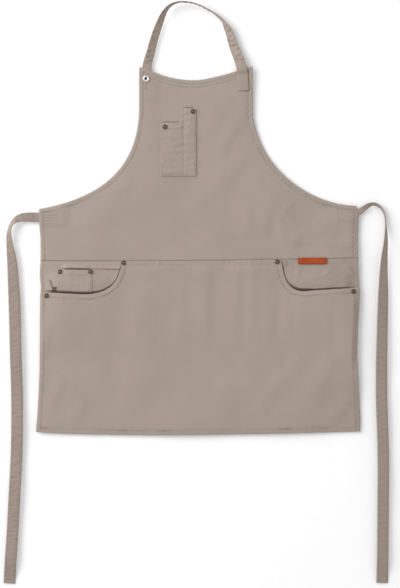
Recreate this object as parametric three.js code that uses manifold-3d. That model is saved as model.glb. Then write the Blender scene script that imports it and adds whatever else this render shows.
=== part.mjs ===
import * as THREE from 'three';
import { mergeVertices } from 'three/addons/utils/BufferGeometryUtils.js';
import Module from 'manifold-3d';

// A bib apron lying flat with its front up. Millimetres, +Z up, +Y towards the neck.
// Pattern x is measured from the centre line and pattern y from the waist seam.

const wasm = await Module();
wasm.setup();
const { smoothstep, degToRad, lerp } = THREE.MathUtils;

// Cloth layers
const cloth = 1.2;
const gap = 0.3;
const layer = cloth + gap;
const hemWidth = 10;
const hemStep = 4;

// Waist seam, where the skirt and the pocket backs lap over the bib
const waistLap = 10;
const lapFlat = 12;
const lapFade = 38;
const seam = { halfWidth: 345, leftY: -0.6, middleY: 0.2, rightY: 5.6 };

// Bib: each side edge is a straight side, an armhole curve and a straight upper edge
const bib = {
  topY: 419,
  neckDip: 28,
  dipFadeY: 300,
  columns: 14,
  left: {
    waistX: -341.7,
    corner: [-344, 112],
    pull: [-190, 140],
    rise: [-128, 215],
    armholeTop: [-128, 335],
  },
  right: {
    waistX: 346.9,
    corner: [340, 119.2],
    pull: [262.5, 121.6],
    rise: [126.6, 173],
    armholeTop: [117, 335],
  },
  steps: { side: 6, armhole: 13, upper: 5 },
};

// The neckline hangs lower on its left: places across it, half widths and depths
const neckLean = [
  { share: 0.22, spread: 0.17, depth: 3.8 },
  { share: 0.66, spread: 0.13, depth: -1.4 },
];

// How far the side edges wander from straight, towards +X
const sideWander = {
  left: [
    { y: -368, shift: -2.8 },
    { y: -335, shift: -0.5 },
    { y: -279, shift: 1.6 },
    { y: -235, shift: 2.5 },
    { y: -150, shift: 1.5 },
    { y: -71, shift: 0.7 },
    { y: 15, shift: 1.7 },
    { y: 50, shift: 1.9 },
    { y: 112, shift: 0 },
  ],
  right: [
    { y: -367, shift: 0.2 },
    { y: -340, shift: 0.9 },
    { y: -261, shift: -2.4 },
    { y: -205, shift: -5.4 },
    { y: -140, shift: -3.7 },
    { y: -71, shift: 0.9 },
    { y: -10, shift: -2 },
    { y: 50, shift: 0 },
    { y: 106, shift: 4.6 },
    { y: 119.2, shift: 0 },
  ],
};

// Skirt: hem, and the two scooped pocket mouths
const skirt = {
  hemLeft: [-348, -368.8],
  hemRight: [348.5, -367.8],
  hemSag: 7,
  sagLean: 0.75,
  rows: [0, 0.026, 0.04, 0.13, 0.24, 0.36, 0.48, 0.6, 0.7, 0.8, 0.89, 0.955, 0.97, 1],
};
const mouths = {
  left: {
    side: [-341.7, -67.4],
    bend: [-256, -71.6],
    pull: [-194, -75.6],
    rise: [-169.5, -46],
    waistX: -165,
  },
  right: {
    side: [347.2, -57.4],
    bend: [243, -64],
    pull: [198, -72],
    rise: [185, -47],
    waistX: 179,
  },
  steps: { line: 5, curve: 8, waist: 14 },
};

// Hip pocket bags behind the skirt
const bag = {
  depth: 235,
  cornerRadius: 60,
  columns: 12,
  rows: [0, 0.2, 0.4, 0.58, 0.72, 0.82, 0.89, 0.95, 1],
  margin: 10,
  fade: 42,
  wanderFade: 90,
  left: { sideX: -341, innerX: -128 },
  right: { sideX: 346, innerX: 140 },
};

// How far each pocket mouth stands open, flat from the mouth down and fading round it
const gapes = [
  { pocket: 'left', x: -256, reachX: 36, fadeX: 44, flatY: -156, closedY: -228, height: 5.9 },
  { pocket: 'right', x: 258, reachX: 36, fadeX: 44, flatY: -146, closedY: -228, height: 5.2 },
];

// Patch pockets
const coin = { left: -304, right: -229, topY: -19.4, bottomY: -98, mouthLift: 0.8, liftFromY: -54 };
const pen = {
  left: -81.6,
  right: -4.6,
  bottomY: 183.2,
  lowTopY: 299.6,
  tallTopY: 330.7,
  stepX: -37.5,
  stepLean: 3,
  innerRadius: 9,
  outerRadius: 5,
  divideX: -32,
  mouthLift: 0.9,
};
const patchHem = 8;

// Places where the bib lies over a sewn end
const bibRises = [
  { over: 'left tie', x: -320, y: 94, reachX: 44, reachY: 32, fade: 24, height: 2.5 },
  { over: 'right tie', x: 326, y: 104, reachX: 40, reachY: 32, fade: 24, height: 2.5 },
  { over: 'neck strap', x: -113, y: 394, reachX: 18, reachY: 50, fade: 22, height: 3.6 },
];

// Soft folds: a ridge through x, y, turned from +X, half its length and half its width
const bibFolds = [
  { x: -165, y: 120, turn: 52, reach: 70, spread: 26, height: 2.2 },
  { x: 150, y: 125, turn: 118, reach: 75, spread: 24, height: 2.0 },
  { x: 40, y: 235, turn: 80, reach: 80, spread: 34, height: 1.6 },
];
const skirtFolds = [
  { x: -120, y: -235, turn: 82, reach: 85, spread: 30, height: 2.2 },
  { x: 45, y: -190, turn: 96, reach: 90, spread: 36, height: 2.0 },
  { x: 205, y: -285, turn: 74, reach: 60, spread: 32, height: 2.6 },
];
const foldFade = { near: 14, far: 60 };

// Straps: width across, thickness, steps between two rows of a route
const strap = { neckWidth: 24, tieWidth: 25.5, thickness: 2.2, steps: 3 };

// Routes of the straps' centre lines. Roll turns the left-hand edge up, rise lifts the strap.
const neckRoute = [
  { x: -114, y: 363, roll: 0, rise: 1.1 },
  { x: -113.2, y: 393, roll: 0, rise: 1.1 },
  { x: -111, y: 421, roll: 0, rise: 1.1 },
  { x: -109, y: 431, roll: 34, rise: 0.4 },
  { x: -103.5, y: 448, roll: 47, rise: 0 },
  { x: -95.5, y: 477, roll: 54, rise: 0 },
  { x: -84, y: 512, roll: 60, rise: 0 },
  { x: -68, y: 546, roll: 74, rise: 0 },
  { x: -52, y: 557, roll: 83, rise: 0 },
  { x: -31, y: 560.5, roll: 87, rise: 0 },
  { x: -5, y: 556.5, roll: 87, rise: 0 },
  { x: 21, y: 545, roll: 86, rise: 0 },
  { x: 48, y: 521, roll: 77, rise: 0 },
  { x: 65, y: 495, roll: 57, rise: 0 },
  { x: 77, y: 462, roll: 47, rise: 0 },
  { x: 86, y: 440, roll: 36, rise: 0.8 },
  { x: 92.5, y: 421, roll: 0, rise: 2.7 },
  { x: 95, y: 400, roll: 0, rise: 2.7 },
  { x: 97, y: 367, roll: 0, rise: 2.7 },
];
const leftTieRoute = [
  { x: -288, y: 93.5, roll: 0, rise: 0 },
  { x: -318, y: 94, roll: 0, rise: 0 },
  { x: -346, y: 94.5, roll: 0, rise: 0 },
  { x: -366, y: 95, roll: 38, rise: 0 },
  { x: -384, y: 94, roll: 50, rise: 0 },
  { x: -398, y: 86, roll: 62, rise: 0 },
  { x: -406, y: 73, roll: 68, rise: 0 },
  { x: -408.5, y: 54, roll: 67, rise: 0 },
  { x: -407, y: 32, roll: 63, rise: 0 },
  { x: -402.5, y: 7, roll: 44, rise: 0 },
  { x: -399.5, y: -20, roll: 30, rise: 0 },
  { x: -397, y: -85, roll: 15, rise: 0 },
  { x: -393.5, y: -195, roll: 5, rise: 0 },
  { x: -391, y: -300, roll: 0, rise: 0 },
  { x: -391.5, y: -400, roll: 0, rise: 0 },
  { x: -397, y: -515, roll: 0, rise: 0 },
  { x: -403, y: -620, roll: 0, rise: 0 },
  { x: -408.5, y: -696, roll: 0, rise: 0 },
];
const rightTieRoute = [
  { x: 301, y: 104, roll: 0, rise: 0 },
  { x: 328, y: 104, roll: 0, rise: 0 },
  { x: 352, y: 105, roll: 0, rise: 0 },
  { x: 361, y: 110.5, roll: 52, rise: 0 },
  { x: 369, y: 118, roll: 71, rise: 0 },
  { x: 380, y: 121.5, roll: 72, rise: 0 },
  { x: 393, y: 117, roll: 75, rise: 0 },
  { x: 401, y: 103, roll: 82, rise: 0 },
  { x: 404, y: 84, roll: 92, rise: 0 },
  { x: 404.2, y: 62, roll: 104, rise: 0 },
  { x: 403, y: 36, roll: 114, rise: 0 },
  { x: 399.5, y: 0, roll: 134, rise: 0 },
  { x: 397, y: -45, roll: 144, rise: 0 },
  { x: 395.5, y: -110, roll: 156, rise: 0 },
  { x: 394, y: -210, roll: 172, rise: 0 },
  { x: 394.5, y: -300, roll: 180, rise: 0 },
  { x: 398.5, y: -420, roll: 180, rise: 0 },
  { x: 398, y: -520, roll: 180, rise: 0 },
  { x: 396.5, y: -695, roll: 180, rise: 0 },
];

// Rivets, from front to back: a dished cap, a post and a back disc
const rivet = {
  capRadius: 5,
  capHeight: 1.9,
  dish: 0.8,
  postRadius: 1.6,
  backRadius: 3.8,
  backHeight: 0.8,
  sides: 10,
};
const rivetPlaces = {
  rivet_hip_left_inner: {
    x: -161.6,
    y: -4.1,
    through: ['skirt_panel', 'hip_pocket_back_left', 'bib_panel'],
  },
  rivet_hip_left_outer: { x: -327.2, y: -74.7, through: ['skirt_panel', 'hip_pocket_back_left'] },
  rivet_hip_right_inner: {
    x: 170.2,
    y: -2,
    through: ['skirt_panel', 'hip_pocket_back_right', 'bib_panel'],
  },
  rivet_hip_right_outer: { x: 334.2, y: -65.7, through: ['skirt_panel', 'hip_pocket_back_right'] },
  rivet_coin_left: { x: -298.1, y: -23.3, through: ['coin_pocket', 'hip_pocket_back_left'] },
  rivet_coin_right: { x: -233, y: -23.3, through: ['coin_pocket', 'hip_pocket_back_left'] },
  rivet_pen_left: { x: -72.1, y: 288.8, through: ['pen_pocket', 'bib_panel'] },
  rivet_pen_right: { x: -12.1, y: 322.5, through: ['pen_pocket', 'bib_panel'] },
};

// Ring button on the neck strap, its shank through a long buttonhole in the bib
const button = {
  x: -113.2,
  y: 393,
  radius: 7,
  height: 3,
  eyeRadius: 2.3,
  eyeDepth: 2,
  shankRadius: 2.4,
  backRadius: 4.5,
  backHeight: 0.8,
  sides: 16,
  holeLength: 20,
};

// Leather tag on the waist seam
const tag = { x: 245.5, y: 0.1, width: 61.5, height: 13.4, thickness: 1.8, corner: 1.2 };

// The whole pattern is moved so that the origin lies under the middle of its box
const middle = { x: -4, y: -67 };

const cottonLook = { color: 0xab9d94, roughness: 0.92, metalness: 0 };
const strapLook = { color: 0xa39489, roughness: 0.92, metalness: 0 };
const rivetLook = { color: 0x5c544c, roughness: 0.4, metalness: 0.9 };
const buttonLook = { color: 0xc9c7c2, roughness: 0.3, metalness: 1 };
const leatherLook = { color: 0xb8521f, roughness: 0.6, metalness: 0 };

const toVector = ([x, y]) => new THREE.Vector2(x, y);
const line = (from, to) => new THREE.LineCurve(toVector(from), toVector(to));
const bend = (...points) => new THREE.CubicBezierCurve(...points.map(toVector));

// Points along a chain of curves, each with its own number of steps
function run(parts) {
  const points = parts.flatMap(({ curve, steps }) => (
    Array.from({ length: steps }, (_, k) => curve.getPoint(k / steps))
  ));
  points.push(parts.at(-1).curve.getPoint(1));
  return points;
}

function distanceToRun(point, points) {
  const segment = new THREE.Line3();
  const nearest = new THREE.Vector3();
  const probe = new THREE.Vector3(point.x, point.y, 0);
  let least = Infinity;
  for (let k = 1; k < points.length; k += 1) {
    segment.start.set(points[k - 1].x, points[k - 1].y, 0);
    segment.end.set(points[k].x, points[k].y, 0);
    segment.closestPointToPoint(probe, true, nearest);
    least = Math.min(least, nearest.distanceTo(probe));
  }
  return least;
}

// How much a hem folded under along the given edges thickens the cloth
function hemDepth(point, edges, width = hemWidth) {
  const reach = Math.min(...edges.map((edge) => distanceToRun(point, edge)));
  return cloth * (1 - smoothstep(reach, width, width + hemStep));
}

// A closed sheet over a net of points: rows run towards +Y and columns towards +X
function sheetSolid(net, topOf, undersideOf) {
  const rows = net.length;
  const columns = net[0].length;
  const count = rows * columns;
  const positions = [];
  for (const heightOf of [topOf, undersideOf]) {
    net.flat().forEach((point) => positions.push(point.x, point.y, heightOf(point)));
  }
  const faces = [];
  const at = (row, column) => row * columns + column;
  for (let row = 0; row < rows - 1; row += 1) {
    for (let column = 0; column < columns - 1; column += 1) {
      const [a, b] = [at(row, column), at(row, column + 1)];
      const [c, d] = [at(row + 1, column + 1), at(row + 1, column)];
      faces.push(a, b, c, a, c, d);
      faces.push(count + a, count + c, count + b, count + a, count + d, count + c);
    }
  }
  const border = [];
  for (let column = 0; column < columns - 1; column += 1) border.push(at(0, column));
  for (let row = 0; row < rows - 1; row += 1) border.push(at(row, columns - 1));
  for (let column = columns - 1; column > 0; column -= 1) border.push(at(rows - 1, column));
  for (let row = rows - 1; row > 0; row -= 1) border.push(at(row, 0));
  border.forEach((a, k) => {
    const b = border[(k + 1) % border.length];
    faces.push(count + a, count + b, b, count + a, b, a);
  });
  const geometry = new THREE.BufferGeometry();
  geometry.setAttribute('position', new THREE.Float32BufferAttribute(positions, 3));
  geometry.setIndex(faces);
  return geometry;
}

function toSolid(geometry) {
  const bare = geometry.clone();
  bare.deleteAttribute('normal');
  bare.deleteAttribute('uv');
  const merged = mergeVertices(bare);
  const triangles = [];
  for (let k = 0; k < merged.index.count; k += 3) {
    const [a, b, c] = [0, 1, 2].map((corner) => merged.index.getX(k + corner));
    if (a !== b && b !== c && c !== a) triangles.push(a, b, c);
  }
  return new wasm.Manifold(new wasm.Mesh({
    numProp: 3,
    vertProperties: new Float32Array(merged.attributes.position.array),
    triVerts: new Uint32Array(triangles),
  }));
}

function cutAway(geometry, tools) {
  const solid = tools.reduce((left, tool) => left.subtract(toSolid(tool)), toSolid(geometry));
  const mesh = solid.getMesh();
  const result = new THREE.BufferGeometry();
  result.setAttribute('position', new THREE.BufferAttribute(mesh.vertProperties, 3));
  result.setIndex(new THREE.BufferAttribute(mesh.triVerts, 1));
  return result;
}

// A turned solid on the +Z axis from [radius, height] pairs
function turned(profile, sides, x, y) {
  const geometry = new THREE.LatheGeometry(profile.map(toVector), sides);
  return geometry.rotateX(Math.PI / 2).translate(x, y, 0);
}

// Waist seam and the heights of the cloth layers around it
function seamY(x) {
  const along = x / seam.halfWidth;
  const bow = (seam.leftY + seam.rightY) / 2 - seam.middleY;
  return seam.middleY + along * (seam.rightY - seam.leftY) / 2 + along * along * bow;
}

const belowSeam = (point) => seamY(point.x) - point.y;
const lapRise = (point) => layer * (1 - smoothstep(belowSeam(point), lapFlat, lapFlat + lapFade));

const plateau = (offset, reach, fade) => 1 - smoothstep(Math.abs(offset), reach, reach + fade);

function foldRise(point, folds) {
  const clear = smoothstep(Math.abs(belowSeam(point)), foldFade.near, foldFade.far);
  return folds.reduce((total, fold) => {
    const turn = degToRad(fold.turn);
    const [dx, dy] = [point.x - fold.x, point.y - fold.y];
    const along = dx * Math.cos(turn) + dy * Math.sin(turn);
    const across = dy * Math.cos(turn) - dx * Math.sin(turn);
    const ridge = Math.exp(-((across / fold.spread) ** 2)) * plateau(along, fold.reach, fold.reach);
    return total + fold.height * ridge * clear;
  }, 0);
}

// Straight-line reading of a side's wander at a height
function wander(y, side) {
  const rows = sideWander[side];
  const next = rows.findIndex((row) => row.y > y);
  if (next === 0) return rows[0].shift;
  if (next < 0) return rows.at(-1).shift;
  const [low, high] = [rows[next - 1], rows[next]];
  return lerp(low.shift, high.shift, (y - low.y) / (high.y - low.y));
}

// Both wanders at a point, each fading out across the cloth from its own side
const wanderAt = (y, across) => wander(y, 'left') * (1 - across) ** 4 + wander(y, 'right') * across ** 4;

// Bib
function bibSide({ waistX, corner, pull, rise, armholeTop }) {
  const foot = [waistX, seamY(waistX) - waistLap];
  return run([
    { curve: line(foot, corner), steps: bib.steps.side },
    { curve: bend(corner, pull, rise, armholeTop), steps: bib.steps.armhole },
    { curve: line(armholeTop, [armholeTop[0], bib.topY]), steps: bib.steps.upper },
  ]);
}

function neckDrop(share) {
  const round = 4 * share * (1 - share);
  const wave = Math.sin(Math.PI * share) ** 2;
  const lean = neckLean.reduce((total, { share: place, spread, depth }) => (
    total + depth * Math.exp(-(((share - place) / spread) ** 2))
  ), 0);
  return bib.neckDip * (round + wave) / 2 + lean;
}

function bibNet() {
  const left = bibSide(bib.left);
  const right = bibSide(bib.right);
  return left.map((from, row) => {
    const width = from.distanceTo(right[row]);
    const insets = [0, hemWidth, hemWidth + hemStep];
    const inner = insets.at(-1) / width;
    const shares = insets.map((inset) => inset / width);
    for (let k = 1; k < bib.columns; k += 1) shares.push(lerp(inner, 1 - inner, k / bib.columns));
    shares.push(...insets.map((inset) => 1 - inset / width).reverse());
    return shares.map((share) => {
      const point = from.clone().lerp(right[row], share);
      point.y -= neckDrop(share) * smoothstep(point.y, bib.dipFadeY, bib.topY);
      if (row === 0) point.y = seamY(point.x) - waistLap;
      point.x += wanderAt(point.y, share);
      return point;
    });
  });
}

const bibPoints = bibNet();
const bibHems = [bibPoints.map((row) => row[0]), bibPoints.map((row) => row.at(-1)), bibPoints.at(-1)];

function bibUnderside(point) {
  const rises = bibRises.map(({ x, y, reachX, reachY, fade, height }) => (
    height * plateau(point.x - x, reachX, fade) * plateau(point.y - y, reachY, fade)
  ));
  return cloth + Math.max(...rises) + foldRise(point, bibFolds);
}

const bibTop = (point) => bibUnderside(point) + cloth;
const bibGeometry = sheetSolid(
  bibPoints,
  bibTop,
  (point) => bibUnderside(point) - hemDepth(point, bibHems),
);

// Hip pocket backs
function bagNet(side) {
  const { sideX, innerX } = bag[side];
  const [from, to] = sideX < innerX ? [sideX, innerX] : [innerX, sideX];
  const hemShare = (hemWidth + hemStep) / Math.abs(to - from);
  const shares = [0, hemWidth / Math.abs(to - from), hemShare];
  for (let k = 1; k <= bag.columns; k += 1) shares.push(lerp(hemShare, 1, k / bag.columns));
  const columnShares = sideX < innerX ? shares : shares.map((share) => 1 - share).reverse();
  const columns = columnShares.map((share) => {
    const x = lerp(from, to, share);
    const past = Math.max(0, bag.cornerRadius - Math.abs(x - innerX));
    const lift = bag.cornerRadius - Math.sqrt(bag.cornerRadius ** 2 - past ** 2);
    return { x, topY: seamY(x), bottomY: lift - bag.depth };
  });
  return bag.rows.map((share) => columns.map(({ x, topY, bottomY }) => {
    const y = lerp(bottomY, topY, share);
    const fade = 1 - smoothstep(Math.abs(x - sideX), hemWidth, bag.wanderFade);
    return new THREE.Vector2(x + wander(y, side) * fade, y);
  }));
}

const bagUnderside = (point) => cloth + lapRise(point);
const bagTop = (point) => bagUnderside(point) + cloth;

function bagGeometry(side) {
  const net = bagNet(side);
  const sideEdge = net.map((row) => (side === 'left' ? row[0] : row.at(-1)));
  const clear = (point) => smoothstep(belowSeam(point), lapFlat, lapFlat + lapFade);
  const hem = (point) => hemDepth(point, [sideEdge]) * clear(point);
  return sheetSolid(net, bagTop, (point) => bagUnderside(point) - hem(point));
}

// Skirt
const mouthRuns = Object.fromEntries(['left', 'right'].map((side) => {
  const mouth = mouths[side];
  const top = [mouth.waistX, seamY(mouth.waistX)];
  return [side, run([
    { curve: line(mouth.side, mouth.bend), steps: mouths.steps.line },
    { curve: bend(mouth.bend, mouth.pull, mouth.rise, top), steps: mouths.steps.curve },
  ])];
}));

function skirtNet() {
  const waist = [];
  for (let k = 1; k < mouths.steps.waist; k += 1) {
    const x = lerp(mouths.left.waistX, mouths.right.waistX, k / mouths.steps.waist);
    waist.push(new THREE.Vector2(x, seamY(x)));
  }
  const top = [...mouthRuns.left, ...waist, ...mouthRuns.right.toReversed()];
  const width = top.at(-1).x - top[0].x;
  return skirt.rows.map((share) => top.map((point) => {
    const across = (point.x - top[0].x) / width;
    const hem = toVector(skirt.hemLeft).lerp(toVector(skirt.hemRight), across);
    hem.y -= skirt.hemSag * Math.sin(Math.PI * across ** skirt.sagLean);
    hem.lerp(point, share);
    hem.x += wanderAt(hem.y, across);
    return hem;
  }));
}

const skirtPoints = skirtNet();
const skirtHems = [
  skirtPoints.map((row) => row[0]),
  skirtPoints.map((row) => row.at(-1)),
  skirtPoints[0],
  mouthRuns.left,
  mouthRuns.right,
];

// The skirt clears the bag behind it, hem included, and fades down to the floor round it
function overBag(point) {
  const inwards = point.x < 0 ? point.x - bag.left.innerX : bag.right.innerX - point.x;
  const across = 1 - smoothstep(inwards, bag.margin, bag.margin + bag.fade);
  const down = 1 - smoothstep(-bag.depth - point.y, bag.margin, bag.margin + bag.fade);
  return (cloth + layer) * across * down;
}

function gapeRise(point) {
  return gapes.reduce((total, { x, reachX, fadeX, flatY, closedY, height }) => (
    total + height * plateau(point.x - x, reachX, fadeX) * smoothstep(point.y, closedY, flatY)
  ), 0);
}

const skirtUnderside = (point) => (
  cloth + lapRise(point) + overBag(point) + gapeRise(point) + foldRise(point, skirtFolds)
);
const skirtTop = (point) => skirtUnderside(point) + cloth;
const skirtGeometry = sheetSolid(
  skirtPoints,
  skirtTop,
  (point) => skirtUnderside(point) - hemDepth(point, skirtHems),
);

// Patch pockets
function patchNet(top, bottomY, rowShares) {
  return rowShares.map((share) => (
    top.map((point) => new THREE.Vector2(point.x, lerp(bottomY, point.y, share)))
  ));
}

const coinNet = patchNet(
  Array.from({ length: 7 }, (_, k) => new THREE.Vector2(lerp(coin.left, coin.right, k / 6), coin.topY)),
  coin.bottomY,
  [0, 0.25, 0.5, 0.7, 0.85, 1],
);

function coinUnderside(point) {
  const bulge = Math.sin(Math.PI * (point.x - coin.left) / (coin.right - coin.left));
  const open = smoothstep(point.y, coin.liftFromY, coin.topY);
  return bagTop(point) + gap + coin.mouthLift * bulge * open;
}

const coinTop = (point) => coinUnderside(point) + cloth;
const coinGeometry = sheetSolid(coinNet, coinTop, coinUnderside);

function penTopRun() {
  const { left, right, lowTopY, tallTopY, stepX, stepLean, innerRadius, outerRadius } = pen;
  const rise = new THREE.Path();
  rise.moveTo(left, lowTopY);
  rise.lineTo(stepX - stepLean - innerRadius, lowTopY);
  rise.quadraticCurveTo(stepX - stepLean, lowTopY, stepX - stepLean / 2, lowTopY + innerRadius);
  rise.lineTo(stepX, tallTopY - outerRadius);
  rise.quadraticCurveTo(stepX, tallTopY, stepX + outerRadius, tallTopY);
  rise.lineTo(right - outerRadius, tallTopY);
  rise.quadraticCurveTo(right - outerRadius / 5, tallTopY, right, tallTopY - outerRadius);
  return run(rise.curves.map((curve) => ({ curve, steps: curve.isLineCurve ? 3 : 4 })));
}

const penNet = patchNet(penTopRun(), pen.bottomY, [0, 0.06, 0.09, 0.3, 0.55, 0.8, 0.92, 1]);
const penHems = [penNet.map((row) => row[0]), penNet.map((row) => row.at(-1)), penNet[0], penNet.at(-1)];

// The field stands one layer off the bib inside the turned edges, and each mouth bulges a little
function penRise(point) {
  const low = Math.sin(Math.PI * (point.x - pen.left) / (pen.divideX - pen.left));
  const tall = Math.sin(Math.PI * (point.x - pen.divideX) / (pen.right - pen.divideX));
  const bulge = point.x < pen.divideX ? low : tall;
  return gap + cloth + pen.mouthLift * bulge * smoothstep(point.y, pen.bottomY, pen.lowTopY);
}

const penUnderside = (point) => bibTop(point) + penRise(point);
const penTop = (point) => penUnderside(point) + cloth;
const penGeometry = sheetSolid(
  penNet,
  penTop,
  (point) => penUnderside(point) - hemDepth(point, penHems, patchHem),
);

// Straps: a flat section swept along a route, its lower edge on the surface under it
function strapGeometry(route, width) {
  const path = new THREE.CatmullRomCurve3(
    route.map(({ x, y }) => new THREE.Vector3(x, y, 0)),
    false,
    'centripetal',
  );
  const last = route.length - 1;
  const count = last * strap.steps;
  const positions = [];
  for (let k = 0; k <= count; k += 1) {
    const row = Math.min(Math.floor(k / strap.steps), last - 1);
    const share = k / strap.steps - row;
    const roll = degToRad(lerp(route[row].roll, route[row + 1].roll, share));
    const rise = lerp(route[row].rise, route[row + 1].rise, share);
    const centre = path.getPoint(k / count);
    const ahead = path.getTangent(k / count);
    const across = new THREE.Vector3(-ahead.y, ahead.x, 0).multiplyScalar(Math.cos(roll));
    across.z = Math.sin(roll);
    const up = ahead.clone().cross(across);
    const half = { across: width / 2, up: strap.thickness / 2 };
    centre.z = rise + Math.abs(across.z) * half.across + Math.abs(up.z) * half.up;
    for (const [side, face] of [[1, 1], [1, -1], [-1, -1], [-1, 1]]) {
      const corner = centre.clone();
      corner.addScaledVector(across, side * half.across).addScaledVector(up, face * half.up);
      positions.push(...corner.toArray());
    }
  }
  const faces = [0, 1, 2, 0, 2, 3];
  for (let k = 0; k < count; k += 1) {
    for (let side = 0; side < 4; side += 1) {
      const [a, b] = [4 * k + side, 4 * k + (side + 1) % 4];
      faces.push(a, a + 4, b + 4, a, b + 4, b);
    }
  }
  const end = 4 * count;
  faces.push(end, end + 2, end + 1, end, end + 3, end + 2);
  const geometry = new THREE.BufferGeometry();
  geometry.setAttribute('position', new THREE.Float32BufferAttribute(positions, 3));
  geometry.setIndex(faces);
  return geometry;
}

// Heights of the cloth that a rivet goes through, front layer first
const layers = {
  skirt_panel: { top: skirtTop, underside: skirtUnderside },
  hip_pocket_back_left: { top: bagTop, underside: bagUnderside },
  hip_pocket_back_right: { top: bagTop, underside: bagUnderside },
  coin_pocket: { top: coinTop, underside: coinUnderside },
  pen_pocket: { top: penTop, underside: penUnderside },
  bib_panel: { top: bibTop, underside: bibUnderside },
};

// A rivet's profile, or with a spare gap the room that the cloth leaves round it
function rivetGeometry({ x, y, through }, spare) {
  const { capRadius, capHeight, dish, postRadius, backRadius, backHeight, sides } = rivet;
  const capFoot = layers[through[0]].top({ x, y }) + gap;
  const backTop = layers[through.at(-1)].underside({ x, y }) - gap;
  const capTop = capFoot + capHeight;
  return turned([
    [0, backTop - backHeight - spare],
    [backRadius + spare, backTop - backHeight - spare],
    [backRadius + spare, backTop + spare],
    [postRadius + spare, backTop + spare],
    [postRadius + spare, capFoot - spare / 2],
    [capRadius + spare, capFoot - spare / 2],
    [capRadius + spare, capFoot + capHeight / 2],
    [capRadius * 0.8, capTop + spare],
    [capRadius * 0.5, capTop - dish + spare],
    [0, capTop - dish / 2 + spare],
  ], sides, x, y);
}

// The room that a piece of cloth leaves for the rivets through it
const rivetRoom = (node) => Object.values(rivetPlaces)
  .filter(({ through }) => through.includes(node))
  .map((place) => rivetGeometry(place, gap));

const buttonFoot = bibTop(button) + gap;
const buttonTop = buttonFoot + button.height;

function buttonGeometry() {
  const { radius, height, eyeRadius, eyeDepth, shankRadius, backRadius, backHeight, sides } = button;
  return turned([
    [0, 0],
    [backRadius, 0],
    [backRadius, backHeight],
    [shankRadius, backHeight],
    [shankRadius, buttonFoot],
    [radius * 0.9, buttonFoot],
    [radius, buttonFoot + height * 0.45],
    [radius * 0.85, buttonTop - height * 0.1],
    [radius * 0.6, buttonTop],
    [eyeRadius, buttonTop - height * 0.2],
    [eyeRadius, buttonTop - eyeDepth],
    [0, buttonTop - eyeDepth],
  ], sides, button.x, button.y);
}

// The buttonhole runs down from the shank, and the strap has a round hole for it
function buttonholeRoom(length) {
  const radius = button.shankRadius + gap;
  const outline = new THREE.Shape();
  outline.absarc(0, 0, radius, 0, Math.PI, false);
  outline.absarc(0, -length, radius, Math.PI, 2 * Math.PI, false);
  const geometry = new THREE.ExtrudeGeometry(outline, {
    depth: buttonTop,
    bevelEnabled: false,
    curveSegments: 6,
  });
  return geometry.translate(button.x, button.y, 0);
}

function tagGeometry() {
  const { x, y, width, height, thickness, corner } = tag;
  const [right, top] = [width / 2, height / 2];
  const outline = new THREE.Shape();
  outline.moveTo(corner - right, -top);
  outline.lineTo(right - corner, -top);
  outline.quadraticCurveTo(right, -top, right, corner - top);
  outline.lineTo(right, top - corner);
  outline.quadraticCurveTo(right, top, right - corner, top);
  outline.lineTo(corner - right, top);
  outline.quadraticCurveTo(-right, top, -right, top - corner);
  outline.lineTo(-right, corner - top);
  outline.quadraticCurveTo(-right, -top, corner - right, -top);
  const geometry = new THREE.ExtrudeGeometry(outline, {
    depth: thickness,
    bevelEnabled: false,
    curveSegments: 3,
  });
  return geometry.translate(x, y, bagTop({ x, y: seamY(x) }) + gap);
}

const apron = new THREE.Group();

function addPiece(name, geometry, look) {
  const piece = new THREE.Mesh(geometry, new THREE.MeshStandardMaterial(look));
  piece.name = name;
  apron.add(piece);
}

const bibRoom = [...rivetRoom('bib_panel'), buttonholeRoom(button.holeLength)];
addPiece('bib_panel', cutAway(bibGeometry, bibRoom), cottonLook);
addPiece('skirt_panel', cutAway(skirtGeometry, rivetRoom('skirt_panel')), cottonLook);
for (const side of ['left', 'right']) {
  const name = `hip_pocket_back_${side}`;
  addPiece(name, cutAway(bagGeometry(side), rivetRoom(name)), cottonLook);
}
addPiece('coin_pocket', cutAway(coinGeometry, rivetRoom('coin_pocket')), cottonLook);
addPiece('pen_pocket', cutAway(penGeometry, rivetRoom('pen_pocket')), cottonLook);
addPiece('neck_strap', cutAway(strapGeometry(neckRoute, strap.neckWidth), [buttonholeRoom(0)]), strapLook);
addPiece('waist_tie_left', strapGeometry(leftTieRoute, strap.tieWidth), strapLook);
addPiece('waist_tie_right', strapGeometry(rightTieRoute, strap.tieWidth), strapLook);
addPiece('neck_button', buttonGeometry(), buttonLook);
for (const [name, place] of Object.entries(rivetPlaces)) {
  addPiece(name, rivetGeometry(place, 0), rivetLook);
}
addPiece('leather_tag', tagGeometry(), leatherLook);

apron.position.set(-middle.x, -middle.y, 0);

export default apron;
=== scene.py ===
import math

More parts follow.
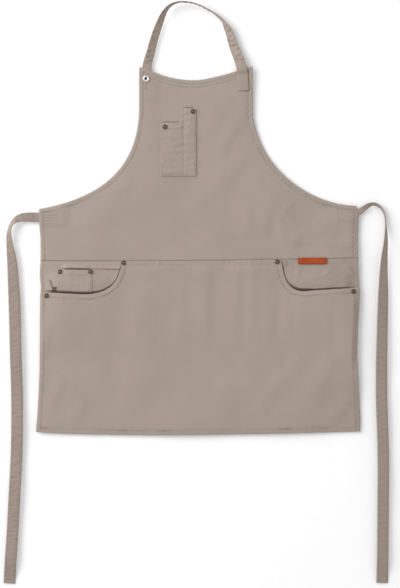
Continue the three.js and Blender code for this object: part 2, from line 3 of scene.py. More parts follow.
import bpy
import numpy as np
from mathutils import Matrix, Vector


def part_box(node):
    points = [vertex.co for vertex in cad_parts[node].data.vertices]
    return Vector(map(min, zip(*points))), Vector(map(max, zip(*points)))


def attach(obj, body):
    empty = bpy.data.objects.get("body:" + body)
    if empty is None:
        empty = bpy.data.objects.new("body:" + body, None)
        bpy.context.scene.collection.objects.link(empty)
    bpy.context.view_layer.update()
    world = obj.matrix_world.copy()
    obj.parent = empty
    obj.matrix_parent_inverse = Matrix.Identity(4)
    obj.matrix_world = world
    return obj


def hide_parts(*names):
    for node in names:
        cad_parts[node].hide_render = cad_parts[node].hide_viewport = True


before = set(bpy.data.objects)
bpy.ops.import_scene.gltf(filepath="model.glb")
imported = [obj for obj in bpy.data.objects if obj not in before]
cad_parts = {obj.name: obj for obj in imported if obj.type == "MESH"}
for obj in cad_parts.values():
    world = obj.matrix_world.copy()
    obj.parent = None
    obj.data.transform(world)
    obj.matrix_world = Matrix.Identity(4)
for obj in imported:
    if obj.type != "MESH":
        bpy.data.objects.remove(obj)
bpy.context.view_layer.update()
print("frame loaded:", len(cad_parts), "nodes")

# Pattern sizes are in millimetres: x from the centre line, y up from the waist seam, z up from the floor.
# Meshes are made in metres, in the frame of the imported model.
metre = 1000.0
patternShift = (4.0, 67.0)

camera = {"aim": (7.24, -4.28), "distance": 5.0, "frameHeight": 1.27008, "sensor": 36.0}
light = {"elevation": 30.0, "towardsTop": 30.0, "distance": 3.8, "size": 3.0, "power": 140.0, "fill": 0.752}
floor = {
    "reach": 8.0,
    "colour": (0.92, 0.92, 0.925, 1.0),
    "speck": (0.95, 0.95, 0.95, 1.0),
    "roughness": 0.9,
}


# Shading: a value is a socket that sums can be written with

class Value:
    def __init__(self, finish, socket):
        self.finish = finish
        self.socket = socket

    def math(self, operation, first, second):
        return self.finish.node("Math", {"operation": operation}, {0: first, 1: second})

    def __add__(self, other):
        return self.math("ADD", self, other)

    def __radd__(self, other):
        return self.math("ADD", other, self)

    def __sub__(self, other):
        return self.math("SUBTRACT", self, other)

    def __rsub__(self, other):
        return self.math("SUBTRACT", other, self)

    def __mul__(self, other):
        return self.math("MULTIPLY", self, other)

    def __rmul__(self, other):
        return self.math("MULTIPLY", other, self)


class Finish:
    def __init__(self, name, **constants):
        self.material = bpy.data.materials.new(name)
        self.material.use_nodes = True
        self.tree = self.material.node_tree
        self.shader = self.tree.nodes["Principled BSDF"]
        for socket, value in constants.items():
            self.shader.inputs[socket].default_value = value

    def node(self, kind, settings=None, sockets=None, output=0):
        made = self.tree.nodes.new("ShaderNode" + kind)
        for key, value in (settings or {}).items():
            if key == "stops":
                for element, (place, shade) in zip(made.color_ramp.elements, value):
                    element.position = place
                    element.color = (shade, shade, shade, 1.0)
            else:
                setattr(made, key, value)
        for key, value in (sockets or {}).items():
            self.feed(made.inputs[key], value)
        return Value(self, made.outputs[output])

    def feed(self, socket, value):
        if isinstance(value, Value):
            self.tree.links.new(value.socket, socket)
        else:
            socket.default_value = value

    def show(self, name, value):
        self.feed(self.shader.inputs[name], value)

    def blend(self, first, second, share):
        return self.node("Mix", {"data_type": "RGBA"}, {0: share, 6: first, 7: second}, output=2)

    def place(self, stretch=(1.0, 1.0, 1.0), turn=0.0):
        where = self.node("TexCoord", output=3)
        return self.node("Mapping", None, {0: where, 2: (0.0, 0.0, turn), 3: stretch})

    def along(self, stretch=(1.0, 1.0, 1.0)):
        where = self.node("UVMap")
        return self.node("Mapping", None, {0: where, 3: stretch})

    def noise(self, where, scale, detail=2.0, roughness=0.55):
        return self.node("TexNoise", None, {0: where, 2: scale, 3: detail, 4: roughness})

    def wave(self, where, scale, distortion, direction="X"):
        settings = {"wave_type": "BANDS", "bands_direction": direction}
        return self.node("TexWave", settings, {0: where, 1: scale, 2: distortion, 3: 1.0, 4: 1.0})

    def painted(self, name):
        return self.node("Attribute", {"attribute_name": name}, output=2)

    def bump(self, height, strength, distance):
        bumped = self.node("Bump", None, {"Strength": strength, "Distance": distance, "Height": height})
        self.show("Normal", bumped)


def tint(red, green, blue):
    return (red, green, blue, 1.0)


cottonLook = {
    "dark": tint(0.296, 0.244, 0.211),
    "light": tint(0.378, 0.312, 0.271),
    "deepShade": tint(0.115, 0.083, 0.063),
    "twillPitch": 0.0011,
    "twillTurn": math.radians(63.0),
    "bump": 0.5,
}


def cottonFinish(name, look, ribbed=False):
    finish = Finish(name, **{"Specular IOR Level": 0.2, "Sheen Weight": 0.08, "Sheen Roughness": 0.6})
    mottle = finish.noise(finish.place(), 13.0, 3.0)
    grain = finish.noise(finish.place(), 420.0, 3.0, 0.7)
    slub = finish.noise(finish.place((520.0, 60.0, 60.0)), 1.0, 2.0)
    if ribbed:
        weave = finish.wave(finish.along((0.0, 1.0 / look["ribPitch"], 0.0)), 0.314, 1.2, "Y")
    else:
        turned = finish.place((1.0, 1.0, 1.0), look["twillTurn"])
        weave = finish.wave(turned, 0.314 / look["twillPitch"], 1.5)
    wornAndShaded = finish.painted("wear")
    tone = 0.3 * mottle + 0.34 * grain + 0.16 * slub + 0.12 * weave + 0.1 * wornAndShaded
    colour = finish.blend(look["dark"], look["light"], tone)
    # Painted shade: this darkens the cloth toward its darkest colour in sunk stitch rows, pocket slots and
    # hollows, along the pen pocket's mouths, beside the sewn strap end and between a strap's slubs
    sunk = finish.painted("crease")
    finish.show("Base Color", finish.blend(colour, look["deepShade"], sunk))
    finish.show("Roughness", 0.84 + 0.12 * grain)
    finish.bump(0.6 * weave + 0.4 * grain + 0.2 * slub, look["bump"], 0.0004)
    return finish.material


strapLook = {
    "dark": tint(0.272, 0.218, 0.187),
    "light": tint(0.386, 0.313, 0.270),
    "deepShade": tint(0.15, 0.12, 0.10),
    "ribPitch": 0.0024,
    "bump": 0.6,
}

threadLook = {"dark": tint(0.30, 0.25, 0.22), "light": tint(0.44, 0.37, 0.32), "twist": 1400.0}


def threadFinish(name, look):
    finish = Finish(name, **{"Specular IOR Level": 0.3, "Sheen Weight": 0.1})
    twist = finish.wave(finish.place((1.0, 1.0, 1.0), math.radians(35.0)), look["twist"], 0.6)
    fluff = finish.noise(finish.place(), 900.0)
    colour = finish.blend(look["dark"], look["light"], 0.5 * twist + 0.5 * fluff)
    finish.show("Base Color", colour)
    finish.show("Roughness", 0.6 + 0.2 * fluff)
    finish.bump(twist, 0.4, 0.0002)
    return finish.material


bronzeLook = {"tarnish": tint(0.030, 0.024, 0.020), "bare": tint(0.27, 0.22, 0.175)}
steelLook = {"shadow": tint(0.012, 0.012, 0.013), "bright": tint(0.86, 0.86, 0.85)}


def metalFinish(name, low, high, roughLow, roughHigh, metallicLow=1.0):
    finish = Finish(name, **{"Specular IOR Level": 0.5})
    wornAndShaded = finish.painted("wear")
    spots = finish.noise(finish.place(), 900.0, 4.0, 0.65)
    scuff = finish.noise(finish.place((1500.0, 300.0, 600.0)), 1.0)
    # Where this mask is high the metal is bare and bright: real wear on a rivet's high spots, and on the
    # button the ring, whose eye is left in the dark shadow colour as painted shade
    bare = finish.node("ValToRGB", {"stops": ((0.32, 0.0), (0.78, 1.0))}, {0: 0.75 * wornAndShaded + 0.35 * spots})
    finish.show("Base Color", finish.blend(low, high, bare))
    finish.show("Metallic", metallicLow + (1.0 - metallicLow) * wornAndShaded)
    finish.show("Roughness", roughLow + (roughHigh - roughLow) * spots)
    finish.bump(0.6 * scuff + 0.4 * spots, 0.25, 0.0002)
    return finish.material


leatherLook = {
    "dark": tint(0.14, 0.019, 0.004),
    "light": tint(0.50, 0.080, 0.009),
    "edge": tint(0.12, 0.022, 0.007),
}


def leatherFinish(name, look):
    finish = Finish(name, **{"Specular IOR Level": 0.22})
    pores = finish.node("TexVoronoi", None, {0: finish.place(), 2: 1100.0})
    fibre = finish.noise(finish.place((1.0, 1.4, 1.0)), 160.0, 4.0, 0.65)
    stain = finish.noise(finish.place(), 55.0, 2.0)
    wornAndShaded = finish.painted("wear")
    face = finish.blend(look["dark"], look["light"], 0.55 * fibre + 0.5 * stain)
    finish.show("Base Color", finish.blend(face, look["edge"], 0.8 * wornAndShaded))
    finish.show("Roughness", 0.5 + 0.3 * fibre)
    finish.bump(0.7 * pores + 0.6 * fibre, 0.5, 0.0003)
    return finish.material


cotton = cottonFinish("cotton", cottonLook)
strapCotton = cottonFinish("strap_cotton", strapLook, ribbed=True)
thread = threadFinish("thread", threadLook)
bronze = metalFinish("rivet_bronze", bronzeLook["tarnish"], bronzeLook["bare"], 0.32, 0.6)
steel = metalFinish("button_steel", steelLook["shadow"], steelLook["bright"], 0.14, 0.34, 0.2)
leather = leatherFinish("tag_leather", leatherLook)
print("finishes made")


# Pattern maths

def smooth(value, low, high):
    share = np.clip((value - low) / (high - low), 0.0, 1.0)
    return share * share * (3.0 - 2.0 * share)


def plateau(offset, reach, fade):
    return 1.0 - smooth(np.abs(offset), reach, reach + fade)


def bell(offset, width):
    return np.exp(-(offset / width) ** 2)


def blendPoints(first, second, share):
    return first + (second - first) * share


def lineRun(start, end, steps):
    share = np.linspace(0.0, 1.0, steps, endpoint=False)[:, None]
    return blendPoints(np.array(start, float), np.array(end, float), share)


def bendRun(start, pull, rise, end, steps):
    a, b, c, d = (np.array(point, float) for point in (start, pull, rise, end))
    t = np.linspace(0.0, 1.0, steps, endpoint=False)[:, None]
    return a * (1 - t) ** 3 + 3 * b * t * (1 - t) ** 2 + 3 * c * t * t * (1 - t) + d * t ** 3


def joinRuns(*runs, end):
    return np.concatenate([*runs, [end]])


def runLength(run):
    return np.concatenate([[0.0], np.cumsum(np.linalg.norm(np.diff(run, axis=0), axis=1))])


def unitRows(rows):
    return rows / np.linalg.norm(rows, axis=1)[:, None]


def leftOf(ahead):
    return np.stack([-ahead[:, 1], ahead[:, 0]], axis=1)


def evenly(run, places):
    travelled = runLength(run)
    return np.stack([np.interp(places, travelled, run[:, k]) for k in range(run.shape[1])], axis=1)


# Places from 0 to a length: close together near both ends, even between
def closeEnds(near, length, count):
    inner = np.linspace(near[-1], length - near[-1], count)[1:-1]
    return np.concatenate([near, inner, length - near[::-1]])


# How far each point is from a run, and how far along the run that is
def edgeReach(x, y, run):
    best = np.full(x.shape, 1e9)
    along = np.zeros(x.shape)
    travelled = 0.0
    for (fromX, fromY), (toX, toY) in zip(run[:-1], run[1:]):
        stepX = toX - fromX
        stepY = toY - fromY
        length = math.hypot(stepX, stepY)
        share = np.clip(((x - fromX) * stepX + (y - fromY) * stepY) / length ** 2, 0.0, 1.0)
        reach = np.hypot(x - fromX - share * stepX, y - fromY - share * stepY)
        nearer = reach < best
        best = np.where(nearer, reach, best)
        along = np.where(nearer, travelled + share * length, along)
        travelled += length
    return best, along


# Soft crumples: a few seeded waves, from 0 to about 1
def crumple(x, y, seed, size, count=10):
    draw = np.random.default_rng(seed)
    total = np.zeros(x.shape)
    for _ in range(count):
        turn = draw.uniform(0.0, math.pi)
        pitch = size * draw.uniform(0.7, 1.7)
        phase = draw.uniform(0.0, 2.0 * math.pi)
        bow = draw.uniform(-0.3, 0.3) * size
        bent = bow * np.sin((y * math.cos(turn) - x * math.sin(turn)) / (1.3 * size) + phase)
        total += np.sin(2.0 * math.pi * (x * math.cos(turn) + y * math.sin(turn) + bent) / pitch + phase)
    return 0.5 + 0.5 * np.tanh(total / math.sqrt(count))


# Folds: x, y, turn from +x in degrees, half length, widths of the slow left and steep right side, height
def foldRise(x, y, folds):
    total = np.zeros(x.shape)
    for foldX, foldY, turn, reach, slow, steep, height in folds:
        turn = math.radians(turn)
        along = (x - foldX) * math.cos(turn) + (y - foldY) * math.sin(turn)
        across = (x - foldX) * math.sin(turn) - (y - foldY) * math.cos(turn)
        ridge = smooth(across, -slow, 0.0) * (1.0 - smooth(across, 0.0, steep))
        total += height * ridge * plateau(along, 0.5 * reach, 0.7 * reach)
    return total


# Folds of a panel with broad and fine crumples between them
def softRise(x, y, folds, broad, seed, size):
    rise = foldRise(x, y, folds) + broad * crumple(x, y, seed, size)
    return rise + 0.16 * crumple(x, y, seed + 20, 24.0)


cloth = {"thickness": 1.2, "gap": 0.3, "noseRadius": 2.4}
layer = cloth["thickness"] + cloth["gap"]
edgeInsets = np.array([0.0, 0.25, 0.7, 1.3, 2.1, 3.2, 4.6, 6.2, 7.6, 9.0, 10.4, 12.0, 14.0])

hem = {
    "width": 10.0,
    "loft": 0.3,
    "stitchInset": 9.4,
    "groove": 0.7,
    "grooveWidth": 1.6,
    "ropePitch": 9.4,
    "ropeLean": 0.8,
    "rope": 0.42,
    "droop": 1.4,
    # how dark and how wide the painted shade along a stitch row is
    "crease": 0.36,
    "creaseWidth": 1.5,
    "mouthInset": 10.6,
}


# Relief of a turned and stitched edge: raised hem, sunk stitch rows and the slanting rope of a washed seam
def hemRelief(reach, along, rows=(hem["stitchInset"],), width=hem["width"], strength=1.0):
    loft = hem["loft"] * smooth(reach, width + 2.5, width - 0.5)
    groove = sum(hem["groove"] * bell(reach - row, hem["grooveWidth"]) for row in rows)
    lean = along + hem["ropeLean"] * reach
    phase = 2.0 * math.pi * lean / hem["ropePitch"]
    phase = phase + 2.1 * np.sin(along / 29.0) + 1.3 * np.sin(along / 11.0)
    swell = 0.5 + 0.32 * np.sin(along / 43.0 + 2.0 * np.sin(along / 97.0)) + 0.26 * np.sin(along / 14.0)
    window = smooth(reach, 0.4, 3.0) * (1.0 - smooth(reach, width, width + 8.0))
    return strength * (loft - groove + hem["rope"] * swell * np.sin(phase) * window)


# Painted shade of a sunk stitch row, stronger and weaker along the edge
def stitchRowShade(reach, along, rows=(hem["stitchInset"],), width=hem["creaseWidth"]):
    line = sum(bell(reach - row, width) for row in rows)
    broken = 0.5 + 0.2 * np.sin(along / 1.9 + 2.0 * np.sin(along / 13.0)) + 0.25 * np.sin(along / 7.0)
    broken = broken + 0.3 * np.sin(along / 19.0 + 2.0 * np.sin(along / 47.0))
    return hem["crease"] * line * np.clip(broken, 0.0, 1.2)


# A hem hangs a little, more on the side away from the left
def hemDroop(reach, x, y):
    share = (0.3 + 0.7 * smooth(x, -300.0, 0.0)) * (1.0 - 1.1 * smooth(y, 200.0, 300.0))
    share = share * (1.0 - 0.6 * smooth(x, 250.0, 330.0) * plateau(y - 55.0, 40.0, 20.0))
    return -hem["droop"] * share * (1.0 - smooth(reach, 0.0, 12.0))


# Thickness of cloth that a hem folds under
def hemUnder(reach, width=hem["width"]):
    return cloth["thickness"] * (1.0 - smooth(reach, width, width + 4.0))


# Rounds the border of a sheet so that its two faces meet in a folded nose
def roundedEdge(top, under, reach, radius=cloth["noseRadius"]):
    middle = 0.5 * (top + under)
    half = 0.5 * (top - under)
    share = np.sqrt(1.0 - (1.0 - np.clip(reach / radius, 0.0, 1.0)) ** 2)
    return middle + half * share, middle - half * share


# Distance from the edge, with nothing left at the border of the net
def bordered(reach):
    reach = reach.copy()
    reach[[0, -1], :] = 0.0
    reach[:, [0, -1]] = 0.0
    return reach


# The four edges of a net of rows towards +y and columns towards +x
def netEdges(x, y):
    net = np.stack([x, y], axis=-1)
    return {"left": net[:, 0], "right": net[:, -1], "foot": net[0], "top": net[-1]}


def edgeWear(reach, relief):
    return np.clip(0.9 * bell(reach, 2.6) + 0.5 * np.clip(relief, 0.0, 1.0), 0.0, 1.0)


# Mesh makers

def placed(x, y, z):
    points = np.stack(np.broadcast_arrays(x + patternShift[0], y + patternShift[1], z), axis=-1)
    return points / metre


def gridQuads(index):
    corners = [index[:-1, :-1], index[:-1, 1:], index[1:, 1:], index[1:, :-1]]
    return np.stack(corners, axis=-1).reshape(-1, 4)


def makePiece(name, points, faces, finish, slotName, node=None, **painted):
    mesh = bpy.data.meshes.new(name)
    mesh.from_pydata(points.tolist(), [], faces if isinstance(faces, list) else faces.tolist())
    mesh.polygons.foreach_set("use_smooth", np.ones(len(mesh.polygons), bool))
    for paint, values in painted.items():
        channel = mesh.attributes.new(paint, "FLOAT", "POINT")
        channel.data.foreach_set("value", np.ascontiguousarray(values, dtype=np.float32))
    mesh.materials.append(finish)
    mesh.update()
    piece = bpy.data.objects.new(name, mesh)
    bpy.context.scene.collection.objects.link(piece)
    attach(piece, "root")
    if node:
        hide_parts(node)
    return piece


# A closed sheet over a net of rows towards +y and columns towards +x; its faces share their border
def sheetPiece(name, x, y, top, under, finish, slotName, node, **painted):
    inside = np.ones(x.shape, bool)
    inside[[0, -1], :] = False
    inside[:, [0, -1]] = False
    face = np.arange(x.size).reshape(x.shape)
    back = face.copy()
    back[inside] = x.size + np.arange(inside.sum())
    points = np.concatenate([placed(x, y, top).reshape(-1, 3), placed(x, y, under)[inside]])
    faces = np.concatenate([gridQuads(face), gridQuads(back)[:, ::-1]])
    painted = {paint: np.concatenate([values.ravel(), values[inside]]) for paint, values in painted.items()}
    return makePiece(name, points, faces, finish, slotName, node, **painted)


# One stitch, along x from -0.5 to 0.5, and its faces
def stitchShape(sides=5):
    rings = ((-0.28, 0.85, 0.25), (0.0, 1.0, 0.45), (0.28, 0.85, 0.25))
    points = [(-0.5, 0.0, -0.9)]
    for place, width, lift in rings:
        for k in range(sides):
            turn = 2.0 * math.pi * k / sides
            points.append((place, width * math.cos(turn), lift + width * math.sin(turn)))
    points.append((0.5, 0.0, -0.9))
    last = len(points) - 1
    faces = []
    for k in range(sides):
        following = (k + 1) % sides
        faces.append((0, 1 + k, 1 + following))
        faces.append((last, 1 + 2 * sides + following, 1 + 2 * sides + k))
        for ring in range(2):
            a = 1 + ring * sides
            faces.append((a + k, a + sides + k, a + sides + following))
            faces.append((a + k, a + sides + following, a + following))
    return np.array(points), np.array(faces)


stitch = {"pitch": 3.3, "length": 2.7, "radius": 0.36, "tackPitch": 0.8, "barWidth": 2.6}


# Stitches at given middles, each with a direction along it and the cloth's normal
def stitchPiece(name, middles, directions, normals, slotName, length=stitch["length"]):
    shape, shapeFaces = stitchShape()
    directions = unitRows(directions)
    sideways = unitRows(np.cross(normals, directions))
    upwards = np.cross(directions, sideways)
    points = (
        middles[:, None, :]
        + shape[None, :, 0:1] * length * directions[:, None, :]
        + shape[None, :, 1:2] * stitch["radius"] * sideways[:, None, :]
        + shape[None, :, 2:3] * stitch["radius"] * upwards[:, None, :]
    ).reshape(-1, 3)
    offsets = len(shape) * np.arange(len(middles))
    faces = (shapeFaces[None, :, :] + offsets[:, None, None]).reshape(-1, 3)
    return makePiece(name, placed(points[:, 0], points[:, 1], points[:, 2]), faces, thread, slotName)


# Middles, directions and normals of the stitches along rows laid on a height function
def sewnRows(rows, heightOf, pitch=stitch["pitch"], across=False):
    middles = []
    directions = []
    normals = []
    for row in rows:
        length = runLength(row)[-1]
        count = max(2, int(length / pitch))
        flat = evenly(row, (np.arange(count) + 0.5) * length / count)
        ahead = unitRows(np.gradient(flat, axis=0))
        side = leftOf(ahead)
        z = heightOf(flat[:, 0], flat[:, 1])
        steps = []
        for direction in (ahead, side):
            onward = flat + direction
            back = flat - direction
            slope = 0.5 * (heightOf(onward[:, 0], onward[:, 1]) - heightOf(back[:, 0], back[:, 1]))
            steps.append(np.concatenate([direction, np.clip(slope, -0.5, 0.5)[:, None]], axis=1))
        middles.append(np.concatenate([flat, z[:, None]], axis=1))
        directions.append(steps[1] if across else steps[0])
        normals.append(np.cross(steps[0], steps[1]))
    return np.concatenate(middles), np.concatenate(directions), np.concatenate(normals)


# A row of stitches at a given distance inside an edge; side is 1 to the left of the run and -1 to its right
def insetRow(run, inset, side, trim=(0.0, 0.0)):
    length = runLength(run)[-1]
    even = evenly(run, np.linspace(trim[0], length - trim[1], int(length / 2.0)))
    return even + inset * side * leftOf(unitRows(np.gradient(even, axis=0)))


def boxRow(left, right, bottom, top):
    return np.array([(left, bottom), (right, bottom), (right, top), (left, top), (left, bottom)], float)


# Waist seam: the skirt and the pocket backs lap over the bib

waist = {
    "halfWidth": 345.0,
    "leftY": -0.6,
    "middleY": 0.2,
    "rightY": 5.6,
    "lap": 10.0,
    "lapFlat": 12.0,
    "lapFade": 38.0,
    "stitchDrop": 7.5,
    "pucker": 0.28,
    "puckerPitch": 13.0,
}


def seamY(x):
    along = x / waist["halfWidth"]
    bow = 0.5 * (waist["leftY"] + waist["rightY"]) - waist["middleY"]
    return waist["middleY"] + 0.5 * along * (waist["rightY"] - waist["leftY"]) + along ** 2 * bow


def belowSeam(x, y):
    return seamY(x) - y


def lapRise(x, y):
    return layer * (1.0 - smooth(belowSeam(x, y), waist["lapFlat"], waist["lapFlat"] + waist["lapFade"]))


def seamPucker(x, y):
    away = np.abs(belowSeam(x, y))
    phase = 2.0 * math.pi * x / waist["puckerPitch"] + 2.4 * np.sin(x / 37.0) + 1.5 * np.sin(x / 83.0)
    return waist["pucker"] * np.sin(phase) * (0.5 + 0.5 * np.sin(x / 71.0)) * bell(away, 14.0)


# The dimple that a rivet or button pulls in the cloth
def dimples(x, y, places, depth=0.7, spread=9.0):
    total = np.zeros(x.shape)
    for placeX, placeY in places:
        reach = np.hypot(x - placeX, y - placeY)
        spokes = 1.0 + 0.35 * np.sin(5.0 * np.arctan2(y - placeY, x - placeX) + placeX)
        total -= depth * spokes * bell(reach - 4.0, spread) * (reach > 0.01)
    return total


rivet = {
    "hip_left_inner": (-161.6, -4.1),
    "hip_left_outer": (-327.2, -74.7),
    "hip_right_inner": (170.2, -2.0),
    "hip_right_outer": (334.2, -65.7),
    "coin_left": (-298.1, -23.3),
    "coin_right": (-233.0, -23.3),
    "pen_left": (-72.1, 288.8),
    "pen_right": (-12.1, 322.5),
}


def rivetsOf(*names):
    return [place for name, place in rivet.items() if name.startswith(names)]


# How far the side edges wander from straight: y, shift towards +x
sideWander = {
    "left": [(-368, -2.8), (-348, -1.5), (-330, -0.3), (-300, 0.7), (-279, 1.6), (-235, 2.5),
             (-150, 1.5), (-110, 0.9), (-71, 0.7), (-54, 0.9), (-37, -0.9), (-19, -0.9),
             (-2, 1.1), (15, 1.7), (50, 1.9), (67, 0.6), (112, 0)],
    "right": [(-367, 0.2), (-340, 0.9), (-313, -0.5), (-261, -2.4), (-227, -4.6), (-210, -5.5),
              (-192, -5.2), (-140, -3.7), (-106, -0.8), (-71, 0.9), (-37, 0), (-19, -1.3),
              (-2, -2.4), (15, -1.9), (32, -1.3), (50, 0), (84, 3.4), (106, 4.6),
              (112, 3.2), (118.6, 0)],
}


def wander(y, side):
    places, shifts = np.array(sideWander[side]).T
    return np.interp(y, places, shifts)


# Bib

bib = {
    "topY": 419.0,
    "neckDip": 28.9,
    "dipFadeY": 300.0,
    "left": {"waistX": -341.7, "corner": (-344.0, 112.0), "pull": (-190.0, 140.0),
             "rise": (-128.0, 215.0), "armholeTop": (-128.0, 335.0)},
    "right": {"waistX": 346.9, "corner": (340.0, 119.2), "pull": (262.2, 119.6),
              "rise": (134.8, 179.4), "armholeTop": (117.0, 317.0)},
    "footHeight": 122.5,
    "armholeRows": 120,
    "upperRows": 26,
    "fineRows": (292.0, 338.0),
    "columns": 100,
    "neckRows": (8.6, 15.0),
    "neckHem": 13.0,
    "crumple": 1.0,
    "puff": 2.3,
    "puffTop": 62.0,
    "seamDip": 0.72,
}

# Heights of the rows of the bib's net above its lower edge, close together at the seam
bibFoot = np.concatenate([
    [0.0, 4.0, 7.0],
    np.arange(8.4, 15.0, 0.55),
    np.linspace(15.5, bib["footHeight"], 68, endpoint=False),
])

# Where the bib lies over a sewn strap end: middle, half size, fade, height
bibRises = [
    (-318, 94, 28, 13, 12, 1.7),
    (324, 104, 24, 13, 12, 1.7),
    (-113.5, 392, 12.5, 31, 26, 1.8),
]

bibFolds = [
    (25, 160, 48, 75, 54, 44, 1.6),
    (78, 205, 50, 60, 36, 32, 1.6),
    (60, 262, 62, 46, 26, 24, 1.2),
    (30, 300, 75, 40, 30, 24, 1),
    (-172, 156, 24, 34, 24, 20, 1.3),
    (-215, 100, 38, 70, 50, 44, 1.4),
    (-70, 105, 82, 70, 70, 60, 1.1),
    (104, 92, 96, 46, 30, 24, 1.3),
    (148, 96, 74, 48, 28, 24, 1.4),
    (196, 84, 112, 50, 34, 28, 1.5),
    (178, 70, 100, 36, 16, 13, 1.1),
    (208, 42, 68, 28, 14, 12, 1.1),
    (186, 104, 58, 26, 12, 11, 0.9),
    (262, 62, 24, 50, 34, 30, 1.7),
    (300, 86, -20, 40, 22, 22, 1.3),
    (292, 36, -8, 50, 18, 18, 1.3),
    (328, 60, 86, 44, 26, 16, 1.8),
    (96, 330, 84, 50, 26, 20, 1),
    (-104, 300, 96, 60, 30, 24, 0.9),
]

# Wrinkles of the cloth over a sewn tie end: middle, half size, pitch and height
boxWrinkles = [(-319.0, 93.0, 11.0, 11.0, 5.8, 1.0), (322.0, 104.0, 12.0, 11.0, 7.0, 0.3)]

# Short tucks that run across the waist seam, by x, with their height
seamTucks = [
    (-150.0, 0.9), (-118.0, 0.7), (-86.0, 1.2), (-61.0, 0.6), (44.0, 0.8), (52.0, 0.9),
    (112.0, 1.2), (196.0, 1.5), (208.0, 1.0), (288.0, 0.9), (306.0, 1.1), (-250.0, 0.6),
]


def bibSide(side):
    shape = bib[side]
    foot = (shape["waistX"], seamY(shape["waistX"]) - waist["lap"])
    topX = shape["armholeTop"][0]
    armTopY = shape["armholeTop"][1]
    upperY = np.concatenate([
        np.linspace(armTopY, bib["topY"] - edgeInsets[-1], bib["upperRows"], endpoint=False),
        bib["topY"] - edgeInsets[::-1],
    ])
    share = (bibFoot / bib["footHeight"])[:, None]
    return np.concatenate([
        blendPoints(np.array(foot), np.array(shape["corner"]), share),
        bendRun(shape["corner"], shape["pull"], shape["rise"], shape["armholeTop"], bib["armholeRows"]),
        np.stack([np.full(upperY.shape, topX), upperY], axis=1),
    ])


# Splits the rows of both sides in three where the pen pocket's mouths are
def fineRows(sides):
    place = np.arange(len(sides[0]))
    height = 0.5 * (sides[0][:, 1] + sides[1][:, 1])
    low, high = bib["fineRows"]
    fine = place[(height > low) & (height < high)]
    split = np.sort(np.concatenate([place, fine + 1.0 / 3.0, fine + 2.0 / 3.0]))
    return [np.stack([np.interp(split, place, run[:, k]) for k in range(2)], axis=1) for run in sides]


# The neckline hangs lower on its left
def neckDrop(share):
    lean = 3.8 * bell(share - 0.22, 0.17) - 1.4 * bell(share - 0.66, 0.13)
    return 0.5 * bib["neckDip"] * (4.0 * share * (1.0 - share) + np.sin(math.pi * share) ** 2) + lean


def bibNet():
    left, right = fineRows([bibSide("left"), bibSide("right")])
    width = np.linalg.norm(right - left, axis=1)[:, None]
    near = edgeInsets[None, :] / width
    inner = near[:, -1:]
    middle = blendPoints(inner, 1.0 - inner, np.linspace(0.0, 1.0, bib["columns"] + 1)[None, 1:-1])
    share = np.concatenate([near, middle, 1.0 - near[:, ::-1]], axis=1)
    x = blendPoints(left[:, :1], right[:, :1], share)
    y = blendPoints(left[:, 1:], right[:, 1:], share)
    y = y - neckDrop(share) * smooth(y, bib["dipFadeY"], bib["topY"])
    bow = seamY(x[0]) - waist["lap"] - y[0]
    y[:len(bibFoot)] += bow[None, :] * (1.0 - smooth(bibFoot, 15.0, 120.0))[:, None]
    x = x + wander(y, "left") * (1.0 - share) ** 4 + wander(y, "right") * share ** 4
    return x, y


bibX, bibY = bibNet()
bibBorder = netEdges(bibX, bibY)
bibEdges = {"left": bibBorder["left"], "right": bibBorder["right"], "neck": bibBorder["top"]}


# The apron lies on the floor along its middle and stands off it a little round its outline
rim = {
    "height": 8.0,
    "flat": 24.0,
    "fade": 170.0,
    "hem": [(-348.0, -368.3), (0.0, -374.0), (348.5, -367.2)],
}
rimRuns = [
    np.concatenate([rim["hem"][:1], bibEdges["left"][::6]]),
    np.concatenate([rim["hem"][-1:], bibEdges["right"][::6]]),
    np.array(rim["hem"]),
    bibEdges["neck"][::6],
]


def ground(x, y):
    inside = np.ones(x.shape)
    for run in rimRuns:
        inside = inside * smooth(edgeReach(x, y, run)[0], rim["flat"], rim["fade"])
    sway = 0.74 + 0.16 * np.sin(x / 103.0 + y / 71.0) + 0.1 * np.sin(x / 41.0 - y / 47.0 + 1.0)
    return rim["height"] * sway * (1.0 - inside)


def tuckRise(x, y):
    away = belowSeam(x, y)
    total = np.zeros(x.shape)
    for tuckX, height in seamTucks:
        lean = x - tuckX - 0.12 * away
        total += height * smooth(lean, -7.0, 0.0) * (1.0 - smooth(lean, 0.0, 4.0))
    return total * bell(away, 11.0)


def bibField(x, y):
    above = -belowSeam(x, y)
    rises = np.zeros(x.shape)
    for riseX, riseY, halfX, halfY, fade, height in bibRises:
        patch = plateau(x - riseX, halfX, fade) * plateau(y - riseY, halfY, fade)
        rises = np.maximum(rises, height * patch)
    soft = softRise(x, y, bibFolds, bib["crumple"], 11, 95.0)
    # the bib lies lower at the seam where the skirt goes over a pocket back
    beside = plateau(x + 128.0, 30.0, 60.0) + plateau(x - 130.0, 28.0, 50.0)
    puff = bib["puff"] * (1.0 - bib["seamDip"] * beside) * smooth(above, -0.4, 3.4)
    puff = puff * (1.0 - smooth(above, -10.0, bib["puffTop"]))
    for boxX, boxY, halfX, halfY, pitch, height in boxWrinkles:
        ripple = np.sin(2.0 * math.pi * (y - boxY + 0.04 * (x - boxX)) / pitch)
        rises = rises + height * ripple * plateau(x - boxX, halfX, 5.0) * plateau(y - boxY, halfY, 3.0)
    return ground(x, y) + cloth["thickness"] + rises + soft * smooth(above, 6.0, 40.0) + puff


penMouth = {
    "low": {"left": -80.0, "right": -38.0, "y": 297.8},
    "tall": {"left": -32.0, "right": -8.0, "y": 328.8},
}


